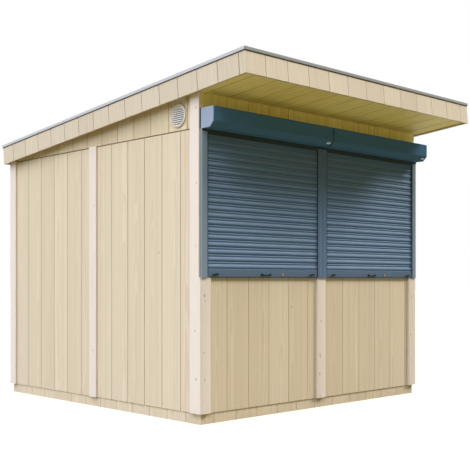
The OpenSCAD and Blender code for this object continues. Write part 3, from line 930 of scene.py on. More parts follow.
class Facing(Enum):
    """Which way a wall looks out of the hut: the axis across it, and the axis outwards."""

    FRONT = (ACROSS[:], (-DEEP)[:])
    BACK = (ACROSS[:], DEEP[:])
    LEFT = (DEEP[:], (-ACROSS)[:])
    RIGHT = (DEEP[:], ACROSS[:])

    @property
    def across(self) -> Vector:
        """The axis across the wall."""
        return Vector(self.value[0])

    @property
    def out(self) -> Vector:
        """The axis out of the hut."""
        return Vector(self.value[1])

    def span(self, box: Box) -> Point2:
        """Returns where a box starts and ends across the wall."""
        return self._range(self.across, box)

    def faces(self, box: Box) -> Point2:
        """Returns how far out the inner and the outer face of a box lie."""
        return self._range(self.out, box)

    @staticmethod
    def _range(axis: Vector, box: Box) -> Point2:
        """Returns where a box starts and ends along an axis."""
        places = [axis.dot(corner) for corner in box]
        return min(places), max(places)

    def thickness(self, box: Box) -> float:
        """Returns how thick a box is, square to the wall."""
        inner, outer = self.faces(box)
        return outer - inner

    def place(self, box: Box) -> Matrix:
        """Returns the frame of a panel: across, outwards from its inner face, and up."""
        return axes(self.out * self.faces(box)[0], self.across, self.out, UP)


SIDES = {"left": Facing.LEFT, "right": Facing.RIGHT}


@dataclass
class Boarding:
    """A field of tongued boards with open shadow joints between them, in place of one plain panel."""

    pitch: float = 0.205
    joint_half: float = 0.0013
    bevel: float = 0.0006
    skin: float = 0.0003
    # Brightness of the walls of the open joints: painted shade
    painted_joint_shade: float = 0.42
    clearance: float = 0.0003
    tongue: float = 0.007
    tongue_low: float = 0.25
    tongue_high: float = 0.45
    edge_round: float = 0.0015
    least: float = 0.02

    def edges(self, x0: float, x1: float, first: float) -> list[float]:
        """Finds the joints of a field.

        Args:
            x0: Start of the field.
            x1: End of the field.
            first: Any place on the grid of grooves.

        Returns:
            The start, the grooves and the end.
        """
        step = math.ceil((x0 + self.least - first) / self.pitch)
        last = math.floor((x1 - self.least - first) / self.pitch)
        return [x0, *(first + i * self.pitch for i in range(step, last + 1)), x1]

    def section(self, x0: float, x1: float, thick: float, jointed: tuple[bool, bool]) -> list[SectionPoint]:
        """Draws the section of one board.

        Args:
            x0: Start of the board.
            x1: End of the board.
            thick: Its thickness.
            jointed: Whether its start and its end meet another board.

        Returns:
            The outline, with the face at full thickness and painted shade on the walls of the joints.
        """
        low, high = thick * self.tongue_low, thick * self.tongue_high
        shoulder, shade = thick - self.bevel, self.painted_joint_shade
        if jointed[0]:
            edge, lip = x0 + self.clearance, x0 + self.joint_half
            slot = x0 + self.tongue + self.clearance
            outline = [(edge, 0.0), (edge, low), (slot, low), (slot, high), (lip, high, shade)]
            outline += [(lip, shoulder - self.skin, shade), (lip, shoulder), (lip + self.bevel, thick)]
        else:
            outline = [(x0, 0.0), (x0, thick - self.edge_round), (x0 + self.edge_round, thick)]
        if jointed[1]:
            edge, lip, tip = x1 - self.clearance, x1 - self.joint_half, x1 + self.tongue
            low, high = low + self.clearance, high - self.clearance
            outline += [(lip - self.bevel, thick), (lip, shoulder), (lip, shoulder - self.skin, shade)]
            outline += [(lip, high, shade), (tip, high, shade), (tip, low), (edge, low), (edge, 0.0)]
        else:
            outline += [(x1 - self.edge_round, thick), (x1, thick - self.edge_round), (x1, 0.0)]
        return outline

    def lay(
        self,
        mesh: PieceMesh,
        edges: Sequence[float],
        thick: float,
        start: Union[float, Reach],
        end: Union[float, Reach],
        place: Matrix,
        dice: random.Random,
    ) -> list[BoardGrain]:
        """Lays the boards of one field.

        Args:
            mesh: The mesh that takes them.
            edges: The field's start, grooves and end.
            thick: Thickness of the boards.
            start: Where they start along their length.
            end: Where they end along their length.
            place: From the boards' axes to the hut's.
            dice: The random source.

        Returns:
            The grain of each board.
        """
        last = len(edges) - 2
        grains = []
        for i, (x0, x1) in enumerate(zip(edges, edges[1:])):
            grains.append(BoardGrain.drawn(dice, (x0 + x1) / 2))
            mesh.prism(self.section(x0, x1, thick, (i > 0, i < last)), start, end, place, grains[i])
        return grains


BOARDS = Boarding()
SIDE_BOARDS = Boarding(joint_half=0.0020)
HEADER_BOARDS = Boarding(least=0.08)
SOFFIT_BOARDS = Boarding(joint_half=0.0028)


# Sub-assemblies


@dataclass
class RoofPlane:
    """The sloping frame of the roof: across, down the slope from the front fascia, and square to it."""

    slope_deg: float = 5.3
    fascia_h: float = 0.168
    fascia_t: float = 0.018

    def __post_init__(self) -> None:
        """Finds the frame and the length of the roof from its fascias."""
        slope = math.radians(self.slope_deg)
        self.fall = math.tan(slope)
        front_low, front_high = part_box("front_fascia")
        self.half_w = front_high.x
        corner = Vector((0.0, front_low.y, front_high.z - self.fascia_h * math.cos(slope)))
        self.place = Matrix.Translation(corner) @ Matrix.Rotation(-slope, 4, "X")
        self.length = self.down(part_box("back_fascia")[1].y, self.fascia_h)

    def down(self, y: float, layer: float) -> float:
        """Returns how far down the slope a place along the hut lies, on a layer of the roof."""
        slope = math.radians(self.slope_deg)
        return (y - self.place.translation.y - layer * math.sin(slope)) / math.cos(slope)

    def cut(self, box: Box) -> Callable[[float], float]:
        """Returns the height of the sloping cut of a wall piece at a place along the hut."""
        low, high = box
        return lambda y: high.z - (y - low.y) * self.fall


@dataclass
class BoardedWalls:
    """The boarded panels of the four walls, the gables and the plinth."""

    shop: Workshop
    roof: RoofPlane
    front_phase: float = 0.235
    side_phase: float = 0.207
    gable_phase: float = 0.132
    plinth_front_phase: float = 0.121
    plinth_side_phase: float = 0.158
    plinth_thick: float = 0.018
    vent_hole: float = 0.120
    vent_steps: int = 48
    door_clear: float = 0.003
    seam_ease: float = 0.0015

    def __post_init__(self) -> None:
        """Finds the corner of the plinth that the grids of grooves start from."""
        self.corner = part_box("plinth_boards")[0]

    def panel(
        self,
        node: str,
        facing: Facing,
        phase: float,
        seed: int,
        ease: float = 0.0,
        stops: Sequence[float] = (),
        boards: Boarding = BOARDS,
        finish: Finish = BOARDING,
    ) -> None:
        """Boards one rectangular panel, or a row of panels in one plane.

        Args:
            node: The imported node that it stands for.
            facing: Which way it looks.
            phase: Distance of a groove from the corner of the plinth.
            seed: Seed of its boards.
            ease: How far its top edge stays below the node's.
            stops: Joints between panels, across the wall.
            boards: The boards that it is made of.
            finish: The finish of its boards.
        """
        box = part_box(node)
        x0, x1 = facing.span(box)
        thick, place, head = facing.thickness(box), facing.place(box), box[1].z - ease
        mesh = PieceMesh(node.replace("_panels", "") + "_boards")
        dice = random.Random(seed)
        bounds = [x0, *stops, x1]
        for start, end in zip(bounds, bounds[1:]):
            edges = boards.edges(start, end, facing.across.dot(self.corner) + phase)
            boards.lay(mesh, edges, thick, box[0].z, head, place, dice)
        self.shop.deliver(mesh.finish(), finish, node)

    def back(self, seed: int) -> None:
        """Boards the back wall beside and over the doorway.

        Args:
            seed: Seed of its boards.
        """
        facing = Facing.BACK
        low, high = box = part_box("back_panels")
        leaf_low, leaf_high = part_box("door_leaf")
        thick, place = facing.thickness(box), facing.place(box)
        door_left, door_right = leaf_low.x - self.door_clear, leaf_high.x + self.door_clear
        fields = [
            (low.x, 0.0, low.z),
            (0.0, door_left, low.z),
            (door_left, door_right, leaf_high.z + self.door_clear),
            (door_right, high.x, low.z),
        ]
        mesh = PieceMesh("back_boards")
        dice = random.Random(seed)
        for start, end, foot in fields:
            edges = BOARDS.edges(start, end, self.corner.x + self.front_phase)
            BOARDS.lay(mesh, edges, thick, foot, high.z - thick * self.roof.fall, place, dice)
        self.shop.deliver(mesh.finish(), BOARDING, "back_panels")

    def gable(self, side: str, facing: Facing, seed: int) -> None:
        """Boards a gable up to the slope of the roof and bores the hole for its vent.

        Args:
            side: Which side of the hut.
            facing: Which way it looks.
            seed: Seed of its boards.
        """
        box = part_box(side + "_gable")
        cut = self.roof.cut(box)
        mesh = PieceMesh(side + "_gable_boards")
        edges = SIDE_BOARDS.edges(*facing.span(box), self.corner.y + self.gable_phase)
        thick, place, dice = facing.thickness(box), facing.place(box), random.Random(seed)
        grains = SIDE_BOARDS.lay(mesh, edges, thick, box[0].z, lambda u, v: cut(u), place, dice)
        piece = mesh.finish()
        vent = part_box(side + "_vent")
        middle = (vent[0] + vent[1]) / 2
        self._bore(piece, middle)
        board = min(grains, key=lambda grain: abs(grain.centre - middle.y))
        self._carry_grain(piece.data, place.inverted(), board)
        self.shop.deliver(piece, GABLE_SHADED_BOARDING, side + "_gable")

    @staticmethod
    def _carry_grain(mesh: bpy.types.Mesh, to_board: Matrix, grain: BoardGrain) -> None:
        """Carries a board's grain on to the points of a hole that was cut in it.

        Args:
            mesh: The boards.
            to_board: From the hut's axes to the boards' own.
            grain: The grain of the board with the hole.
        """
        stored = (mesh.attributes[layer].data for layer in PieceMesh.LAYERS[:2])
        for vertex, lie, board in zip(mesh.vertices, *stored):
            if board.vector[2] < BoardGrain.LEAST_TONE:
                local = to_board @ vertex.co
                lie.vector = (local.x - grain.centre, local.y, local.z + grain.offset)
                board.vector = (*grain.pith, grain.tone)

    def _bore(self, piece: bpy.types.Object, middle: Vector) -> None:
        """Cuts the round hole for a vent through the boards.

        Args:
            piece: The boarded gable.
            middle: Middle of the vent that sits in the hole.
        """
        drill = PieceMesh("vent_drill")
        hole = disc(self.vent_hole / 2, self.vent_steps)
        drill.prism(hole, -self.vent_hole, self.vent_hole, axes(middle, DEEP, UP, ACROSS))
        cutter = drill.finish()
        bore = piece.modifiers.new("vent_hole", "BOOLEAN")
        bore.operation = "DIFFERENCE"
        bore.solver = "EXACT"
        bore.object = cutter
        with bpy.context.temp_override(object=piece, active_object=piece):
            bpy.ops.object.modifier_apply(modifier=bore.name)
        bpy.data.objects.remove(cutter)

    def plinth(self, seed: int) -> None:
        """Boards the plinth round its four sides.

        Args:
            seed: Seed of its boards.
        """
        low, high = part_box("plinth_boards")
        inset = Vector((0.0, self.plinth_thick, 0.0))
        mesh = PieceMesh("plinth_boarding")
        dice = random.Random(seed)
        for facing in Facing:
            on_end = facing in (Facing.FRONT, Facing.BACK)
            box = (low, high) if on_end else (low + inset, high - inset)
            phase = self.plinth_front_phase if on_end else self.plinth_side_phase
            edges = BOARDS.edges(*facing.span(box), facing.across.dot(low) + phase)
            outer = facing.faces(box)[1]
            place = axes(facing.out * (outer - self.plinth_thick), facing.across, facing.out, UP)
            BOARDS.lay(mesh, edges, self.plinth_thick, low.z, high.z, place, dice)
        self.shop.deliver(mesh.finish(), BOARDING, "plinth_boards")

    def build(self) -> None:
        """Boards every wall."""
        middle = (0.0,)
        header_ease = Facing.FRONT.thickness(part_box("front_header")) * self.roof.fall
        self.panel("front_lower_panels", Facing.FRONT, self.front_phase, seed=11, stops=middle)
        self.panel(
            "front_header", Facing.FRONT, self.front_phase, seed=12, ease=header_ease,
            boards=HEADER_BOARDS, finish=HEADER_GOLDEN_SHADE_BOARDING,
        )
        for (side, facing), seed in zip(SIDES.items(), (13, 14)):
            self.panel(side + "_panels", facing, self.side_phase, seed, self.seam_ease, middle, SIDE_BOARDS)
        for (side, facing), seed in zip(SIDES.items(), (15, 16)):
            self.gable(side, facing, seed)
        self.back(seed=17)
        self.plinth(seed=18)
        self.shop.dress_node("front_jambs", JAMB_TIMBER)


# Knots that show on the front strips, by strip: across from its middle, up its length, and radius
FRONT_KNOTS: StripKnots = {
    0: [Vector((-0.010, 0.872, 0.009))],
    1: [Vector((-0.018, 0.408, 0.008)), Vector((-0.020, 0.257, 0.008))],
}


@dataclass
class CoverStrips:
    """The planed strips over the corners and the joints of the panels, and the casing of the door."""

    shop: Workshop
    roof: RoofPlane
    strip_w: float = 0.095
    corner_w: float = 0.079
    casing_w: float = 0.070
    edge_round: float = 0.0025
    # Brightness of the sides of strips that meet boarding: painted shade
    painted_side_shade: float = 0.85
    skin: float = 0.0003
    tone_spread: float = 0.01
    casing_gap: float = 0.0003
    door_clear: float = 0.003

    def section(
        self, x0: float, x1: float, thick: float, shaded: tuple[bool, bool] = (True, True)
    ) -> list[SectionPoint]:
        """Draws the section of a strip with two rounded outer edges.

        Args:
            x0: Start of the strip.
            x1: End of the strip.
            thick: Its thickness.
            shaded: Whether the side at its start and its end gets painted shade, darker than the face.

        Returns:
            The outline.
        """
        left = corner_arc((x0, 0.0), (x0, thick), (x1, thick), self.edge_round)
        right = corner_arc((x0, thick), (x1, thick), (x1, 0.0), self.edge_round)
        side_shades = [self.painted_side_shade if side else 1.0 for side in shaded]
        top = thick - self.edge_round - self.skin
        start = [(x0, 0.0, side_shades[0]), (x0, top, side_shades[0])]
        return [*start, *left, *right, (x1, top, side_shades[1]), (x1, 0.0, side_shades[1])]

    def strips(
        self, node: str, facing: Facing, outer_w: float, seed: int, knots: Optional[StripKnots] = None
    ) -> None:
        """Builds the three strips of one wall.

        Args:
            node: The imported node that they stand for.
            facing: Which way they look.
            outer_w: Width of the two outer strips.
            seed: Seed of their grain.
            knots: Set knots of a strip, by its number from the start of the wall.
        """
        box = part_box(node)
        start, end = facing.span(box)
        spans = [(start, start + outer_w), (-self.strip_w / 2, self.strip_w / 2), (end - outer_w, end)]
        heads = [box[1].z] * len(spans)
        if facing in SIDES.values():
            cut = self.roof.cut(box)
            heads = [lambda u, v: cut(u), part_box("left_gable")[0].z, lambda u, v: cut(u)]
        mesh = PieceMesh(node.replace("_strips", "_cover_strips"))
        dice = random.Random(seed)
        for i, (x0, x1) in enumerate(spans):
            grain = BoardGrain.drawn(dice, (x0 + x1) / 2, self.tone_spread, (knots or {}).get(i, ()))
            section = self.section(x0, x1, facing.thickness(box), (i > 0, i < len(spans) - 1))
            mesh.prism(section, box[0].z, heads[i], facing.place(box), grain)
        self.shop.deliver(mesh.finish(), STRIP_WOOD, node)

    def casing(self, seed: int) -> None:
        """Builds the two posts and the head of the door's casing.

        Args:
            seed: Seed of their grain.
        """
        facing = Facing.BACK
        low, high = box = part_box("door_casing")
        thick, wide = facing.thickness(box), self.casing_w
        head_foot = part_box("door_leaf")[1].z + self.door_clear
        mesh = PieceMesh("door_casing_strips")
        dice = random.Random(seed)
        for x0 in (low.x, high.x - wide):
            grain = BoardGrain.drawn(dice, x0 + wide / 2, self.tone_spread)
            post = self.section(x0, x0 + wide, thick)
            mesh.prism(post, low.z, head_foot - self.casing_gap, facing.place(box), grain)
        place = axes(facing.out * facing.faces(box)[0], UP, facing.out, ACROSS)
        grain = BoardGrain.drawn(dice, head_foot + wide / 2, self.tone_spread)
        mesh.prism(self.section(head_foot, high.z, thick), low.x, high.x, place, grain)
        self.shop.deliver(mesh.finish(), STRIP_WOOD, "door_casing")

    def build(self) -> None:
        """Builds the strips of every wall."""
        self.strips("front_strips", Facing.FRONT, self.strip_w, seed=21, knots=FRONT_KNOTS)
        self.strips("back_strips", Facing.BACK, self.corner_w, seed=22)
        for (side, facing), seed in zip(SIDES.items(), (23, 24)):
            self.strips(side + "_strips", facing, self.strip_w, seed)
        self.casing(seed=25)


@dataclass
class BackDoor:
    """The boarded leaf, with its hinges, handle and screws."""

    shop: Workshop
    board_n: int = 4
    hinge_n: int = 3
    hinge_half: float = 0.045
    hinge_reach: float = 0.02
    plate_t: float = 0.003
    screw_d: float = 0.007
    screw_h: float = 0.0012
    screw_core: float = 0.0006
    screw_rise: float = 0.03
    screw_steps: int = 12
    dome_in: float = 0.8
    dome_up: float = 0.7

    def leaf(self, seed: int) -> None:
        """Builds the leaf from upright boards.

        Args:
            seed: Seed of its boards.
        """
        facing = Facing.BACK
        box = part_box("door_leaf")
        x0, x1 = facing.span(box)
        width = (x1 - x0) / self.board_n
        edges = [x0 + i * width for i in range(self.board_n + 1)]
        mesh = PieceMesh("door_leaf_boards")
        dice = random.Random(seed)
        BOARDS.lay(mesh, edges, facing.thickness(box), box[0].z, box[1].z, facing.place(box), dice)
        self.shop.deliver(mesh.finish(), BOARDING, "door_leaf")

    def screws(self) -> None:
        """Builds the four screw heads on each hinge."""
        low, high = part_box("door_hinges")
        middle = (low + high) / 2
        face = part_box("door_leaf")[1].y + self.plate_t
        step = (high.z - low.z) / 2 - self.hinge_half
        radius, core = self.screw_d / 2, self.screw_core
        shoulder = (radius * self.dome_in, self.screw_h * self.dome_up)
        dome = [(core, 0.0), (radius, 0.0), shoulder, (core, self.screw_h)]
        mesh = PieceMesh("door_hinge_screws")
        for i in range(self.hinge_n):
            z = middle.z + step * (i - 1)
            for x in (middle.x - self.hinge_reach, middle.x + self.hinge_reach):
                for height in (z - self.screw_rise, z + self.screw_rise):
                    mesh.ring(dome, axes(Vector((x, face, height)), ACROSS, UP, DEEP), self.screw_steps)
        self.shop.deliver(mesh.finish(), STEEL)

    def build(self) -> None:
        """Builds the door."""
        self.leaf(seed=31)
        self.screws()
        self.shop.dress_node("door_hinges", STEEL)
        self.shop.dress_node("door_handle", STEEL)


@dataclass
class Roof:
    """The fascias, the soffit of the canopy, the membrane and the edge trim."""

    shop: Workshop
    plane: RoofPlane
    front_phase: float = 0.112
    side_phase: float = 0.059
    soffit_phase: float = 0.046
    soffit_up: float = 0.011
    soffit_t: float = 0.012
    membrane_t: float = 0.003
    lap_w: float = 0.080
    lap_t: float = 0.0014
    lap_slope: float = 0.004
    lap_ease: float = 0.002
    sheet_n: int = 3
    trim_reach: float = 0.006
    trim_t: float = 0.002
    trim_lap: float = 0.040
    trim_drop: float = 0.028
    trim_round: float = 0.003
    trim_lip: float = 0.006
    trim_step: float = 0.0038
    trim_clear: float = 0.0003
    mitre_gap: float = 0.0003

    def frame_at(self, origin: Vector, first: Vector, second: Vector, third: Vector) -> Matrix:
        """Returns the place of a frame that is given in the roof's own axes."""
        return self.plane.place @ axes(origin, first, second, third)

    def fascia(
        self, side: str, facing: Facing, boards: Boarding, edges: Sequence[float], inner: Vector, seed: int
    ) -> None:
        """Boards one fascia.

        Args:
            side: Which side of the roof.
            facing: Which way it looks.
            boards: The boards that it is made of.
            edges: Its start, grooves and end.
            inner: Where its inner face lies in the roof's own axes.
            seed: Seed of its boards.
        """
        place = self.frame_at(inner, facing.across, facing.out, UP)
        mesh = PieceMesh(side + "_fascia_boards")
        boards.lay(mesh, edges, self.plane.fascia_t, 0.0, self.plane.fascia_h, place, random.Random(seed))
        self.shop.deliver(mesh.finish(), FASCIA_BOARDING, side + "_fascia")

    def soffit(self, seed: int) -> None:
        """Boards the underside of the canopy, front to back.

        Args:
            seed: Seed of its boards.
        """
        thick = self.plane.fascia_t
        half = self.plane.half_w - thick
        top = self.soffit_up + self.soffit_t
        back_edge = self.plane.down(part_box("front_soffit")[1].y, top)
        place = self.frame_at(UP * top, ACROSS, -UP, DEEP)
        mesh = PieceMesh("front_soffit_boards")
        edges = SOFFIT_BOARDS.edges(-half, half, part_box("plinth_boards")[0].x + self.soffit_phase)
        SOFFIT_BOARDS.lay(mesh, edges, self.soffit_t, thick, back_edge, place, random.Random(seed))
        self.shop.deliver(mesh.finish(), CANOPY_GOLDEN_SHADE_BOARDING, "front_soffit")

    def membrane(self) -> None:
        """Lays the sheets of the membrane with a welded lap over each joint."""
        thick = self.plane.fascia_t
        half = self.plane.half_w - thick
        top, lap_top = self.plane.fascia_h, self.plane.fascia_h + self.lap_t
        start, end = thick, self.plane.length - thick
        place = self.frame_at(Vector(), ACROSS, UP, DEEP)
        mesh = PieceMesh("roof_sheets")
        width = 2 * half / self.sheet_n
        for i in range(self.sheet_n):
            x0 = -half + i * width
            mesh.prism(rectangle(x0, x0 + width, top - self.membrane_t, top), start, end, place)
            if i:
                lap_end = x0 + self.lap_w
                lap = [(x0, top), (lap_end, top), (lap_end - self.lap_slope, lap_top)]
                lap.append((x0 + self.lap_ease, lap_top))
                mesh.prism(lap, start + self.trim_lap, end - self.trim_lap, place)
        self.shop.deliver(mesh.finish(), MEMBRANE, "roof_membrane")

    def trim_section(self) -> list[Point2]:
        """Draws the angle of the edge trim, outwards and up from the top edge of a fascia.

        Returns:
            The outline, with a rounded outer bend and a foot that is folded back over the dark strip of
            painted shadow.
        """
        reach, thick, lap = self.trim_reach, self.trim_t, self.trim_lap
        step = thick - self.trim_drop + self.trim_lip
        bend = corner_arc((-lap, thick), (reach, thick), (reach, step), self.trim_round)
        inside = [(self.trim_clear, step), (self.trim_clear, step + thick), (reach - thick, step + thick)]
        return [(-lap, thick), *bend, (reach, step), *inside, (reach - thick, 0.0), (-lap, 0.0)]

    def along_ends(self, mesh: PieceMesh, section: Sequence[Point2]) -> None:
        """Runs a section along the front and back edges of the roof, mitred at the corners.

        Args:
            mesh: Piece to add to.
            section: Its outline, outwards and up from the top edge of a fascia.
        """
        half, gap = self.plane.half_w, self.mitre_gap
        for out, edge in ((-DEEP, 0.0), (DEEP, self.plane.length)):
            place = self.frame_at(DEEP * edge + UP * self.plane.fascia_h, out, UP, ACROSS)
            mesh.prism(section, lambda u, v: gap - half - u, lambda u, v: half + u - gap, place)

    def along_sides(self, mesh: PieceMesh, section: Sequence[Point2]) -> None:
        """Runs a section along the side edges of the roof, mitred at the corners.

        Args:
            mesh: Piece to add to.
            section: Its outline, outwards and up from the top edge of a fascia.
        """
        length, gap = self.plane.length, self.mitre_gap
        for out in (-ACROSS, ACROSS):
            place = self.frame_at(out * self.plane.half_w + UP * self.plane.fascia_h, out, UP, DEEP)
            mesh.prism(section, lambda u, v: gap - u, lambda u, v: length + u - gap, place)

    def trim(self) -> None:
        """Builds the angles of the edge trim and the dark strip under them. The trim is lighter on the sides
        as painted light and darker on the front and back as painted shade, and the dark strip paints the
        shadow line below it.
        """
        sides, ends, seals = (PieceMesh(f"roof_trim_{name}") for name in ("sides", "ends", "seals"))
        self.along_sides(sides, self.trim_section())
        self.along_ends(ends, self.trim_section())
        foot = self.trim_t - self.trim_drop
        # A dark strip along the foot of the trim: painted shadow line
        strip = rectangle(self.trim_clear, self.trim_reach - self.trim_step, foot, foot + self.trim_lip)
        self.along_sides(seals, strip)
        self.along_ends(seals, strip)
        self.shop.deliver(sides.finish(), SIDE_TRIM_LIT_METAL, "roof_edge_trim")
        self.shop.deliver(ends.finish(), END_TRIM_SHADED_METAL)
        self.shop.deliver(seals.finish(), TRIM_SHADE_STRIP)

    def build(self) -> None:
        """Builds the roof."""
        thick, half, length = self.plane.fascia_t, self.plane.half_w, self.plane.length
        ends = BOARDS.edges(-half, half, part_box("plinth_boards")[0].x + self.front_phase)
        sides = SIDE_BOARDS.edges(thick, length - thick, self.side_phase)
        self.fascia("front", Facing.FRONT, BOARDS, ends, DEEP * thick, seed=51)
        self.fascia("back", Facing.BACK, BOARDS, ends, DEEP * (length - thick), seed=52)
        for (side, facing), seed in zip(SIDES.items(), (53, 54)):
            self.fascia(side, facing, SIDE_BOARDS, sides, facing.out * (half - thick), seed)
        self.soffit(seed=55)
        self.membrane()
        self.trim()


@dataclass
class RollerShutters:
    """The two roller shutters: boxes, caps, guides, curtains, bottom rails and their fittings."""

    shop: Workshop
    cap_t: float = 0.005
    cap_gap: float = 0.0003
    cap_stand: float = 0.014
    box_chamfer: float = 0.038
    fold_round: float = 0.002
    seam_down: float = 0.010
    seam_w: float = 0.0016
    guide_w: float = 0.050
    guide_web: float = 0.012
    slot_w: float = 0.011
    guide_round: float = 0.0030
    rebate: float = 0.018
    rebate_in: float = 0.006
    rib_in: float = 0.014
    rib_w: float = 0.002
    curtain_inset: float = 0.013
    slat_pitch: float = 0.0496
    slat_bead: float = 0.012
    slat_neck: float = 0.0046
    slat_tuck: float = 0.018
    neck_t: float = 0.003
    bead_t: float = 0.006
    body_steps: int = 10
    bead_steps: int = 6
    slat_smooth_deg: float = 28.0
    rail_t: float = 0.014
    rail_round: float = 0.0025
    slot_clear: float = 0.001
    seal_t: float = 0.008
    brush_w: float = 0.004
    brush_gap: float = 0.0006
    # The lip under each box and the collar at each guide's head are dark bands of painted shade
    exit_lip_and_shade_h: float = 0.034
    shade_collar_h: float = 0.016
    shade_collar_t: float = 0.002

    def __post_init__(self) -> None:
        """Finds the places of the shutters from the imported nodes."""
        self.cap_low, self.cap_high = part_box("shutter_end_caps")
        self.curtains = {side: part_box(side + "_curtain") for side in SIDES}
        self.starts = [box[0].x - self.curtain_inset for box in self.curtains.values()]
        curtain = self.curtains["left"]
        self.width = curtain[1].x - curtain[0].x + 2 * self.curtain_inset
        self.middle_y = (curtain[0].y + curtain[1].y) / 2
        self.wall_y = self.cap_high.y
        self.rail_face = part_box("shutter_bottom_rails")[0].y
        self.lengthwise = axes(DEEP * self.wall_y, -DEEP, UP, ACROSS)

    def box_outline(self, back: float = 0.0) -> list[Point2]:
        """Draws the side view of a box, outwards from the wall and up.

        Args:
            back: How far its back stands off the wall.

        Returns:
            The outline, with a slanted lower front and a seam near the top of its face.
        """
        deep = self.wall_y - self.cap_low.y
        foot, head = self.cap_low.z, self.cap_high.z
        slant = [(deep - self.box_chamfer, foot), (deep, foot + self.box_chamfer)]
        corners = [(back, foot), *slant, (deep, head), (back, head)]
        lower, upper, top = (corner_arc(*corners[i:i + 3], self.fold_round) for i in range(3))
        return [corners[0], *lower, *upper, *self._seam(deep, head - self.seam_down), *top, corners[-1]]

    def _seam(self, face: float, height: float) -> list[Point2]:
        """Returns the points of a small V-shaped seam in an upright face, from below."""
        half = self.seam_w / 2
        return [(face, height - half), (face - half, height), (face, height + half)]

    def boxes(self) -> None:
        """Builds the two boxes."""
        section = self.box_outline()
        inset = self.cap_t + self.cap_gap
        for side, start in zip(self.curtains, self.starts):
            mesh = PieceMesh(side + "_shutter_housing")
            mesh.prism(section, start + inset, start + self.width - inset, self.lengthwise)
            self.shop.deliver(mesh.finish(), BOX_SHADED_PAINT, side + "_shutter_box")

    def caps(self) -> None:
        """Builds the end caps, and the dark beds that hold the outer ones off the wall. The beds paint the
        shade in the gap behind the outer caps, and the inner caps are near black as painted shade in the
        joint between the boxes.
        """
        first, last = self.starts
        far, gap = self.width - self.cap_t, self.cap_gap
        outer, inner = (first, last + far), (first + far, last)
        cap = self.box_outline(self.cap_stand)
        # The beds are dark: painted shade in the gap behind the outer caps
        bed = rectangle(0.0, self.cap_stand - gap, self.cap_low.z + gap, self.cap_high.z - gap)
        rows = (
            ("shutter_outer_caps", CAP_PAINT, cap, outer, 0.0, ("shutter_end_caps",)),
            ("shutter_inner_caps", JOINT_SHADE_PAINT, cap, inner, 0.0, ()),
            ("shutter_cap_shade_beds", LATCH_AND_SHADE_PLASTIC, bed, outer, gap, ()),
        )
        for name, finish, section, places, inset, nodes in rows:
            mesh = PieceMesh(name)
            for x in places:
                mesh.prism(section, x + inset, x + self.cap_t - inset, self.lengthwise)
            self.shop.deliver(mesh.finish(), finish, *nodes)

    def guide_section(self) -> list[Point2]:
        """Draws the plan of a guide with its web at the start, outwards from the wall.

        Returns:
            The outline, with a rebate at the wall, the slot for the curtain and a rib line on its face.
        """
        low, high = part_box("shutter_guides")
        deep = high.y - low.y
        slot = self.wall_y - self.middle_y
        near, far = slot - self.slot_w / 2, slot + self.slot_w / 2
        wide, web, soft = self.guide_w, self.guide_web, self.guide_round
        rib = wide - self.rib_in
        inner = corner_arc((wide, far), (wide, deep), (0.0, deep), soft)
        outer = corner_arc((wide, deep), (0.0, deep), (0.0, 0.0), soft)
        line = [(rib, deep), (rib - self.rib_w / 2, deep - self.rib_w / 2), (rib - self.rib_w, deep)]
        back = [(self.rebate_in, self.rebate), (self.rebate_in, 0.0), (wide, 0.0), (wide, near)]
        return [(0.0, self.rebate), *back, (web, near), (web, far), (wide, far), *inner, *line, *outer]

    def guide_places(self) -> list[Matrix]:
        """Returns the frame of each guide from left to right: into its shutter, outwards and up."""
        ends = [((start, ACROSS), (start + self.width, -ACROSS)) for start in self.starts]
        return [axes(Vector((x, self.wall_y, 0.0)), way, -DEEP, UP) for pair in ends for x, way in pair]

    def guides(self) -> None:
        """Builds the four guides, each closed at its foot: the outer two, and the two in the middle."""
        low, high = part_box("shutter_guides")
        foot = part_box("shutter_bottom_rails")[0].z
        section = self.guide_section()
        closed = rectangle(0.0, self.guide_w, 0.0, high.y - low.y)
        left, *middle, right = self.guide_places()
        rows = (
            ("shutter_guide_rails", OUTER_GUIDE_LIT_PAINT, (left, right), ("shutter_guides",)),
            ("shutter_middle_guides", MIDDLE_GUIDE_SHADED_PAINT, middle, ()),
        )
        for name, finish, places, nodes in rows:
            mesh = PieceMesh(name)
            for place in places:
                mesh.prism(section, foot, high.z, place)
                mesh.prism(closed, low.z, foot, place)
            self.shop.deliver(mesh.finish(), finish, *nodes)

    def guide_seals(self) -> None:
        """Builds the brushes round the curtains, the dark collars at the heads of the guides and the dark
        lips under the boxes, and the foam beds of the guides. The collars paint the shade under the boxes,
        the lips are exit seals that also paint that shade, and the foam beds paint the shade in the rebates
        at the wall.
        """
        low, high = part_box("shutter_guides")
        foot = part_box("shutter_bottom_rails")[0].z
        deep, gap = high.y - low.y, self.brush_gap
        inset = self.guide_w + self.brush_w
        slot = self.wall_y - self.middle_y
        front = self.wall_y - self.curtains["left"][0].y + gap
        brush = rectangle(self.guide_w, inset, slot + self.rail_t / 2 + gap, deep - gap)
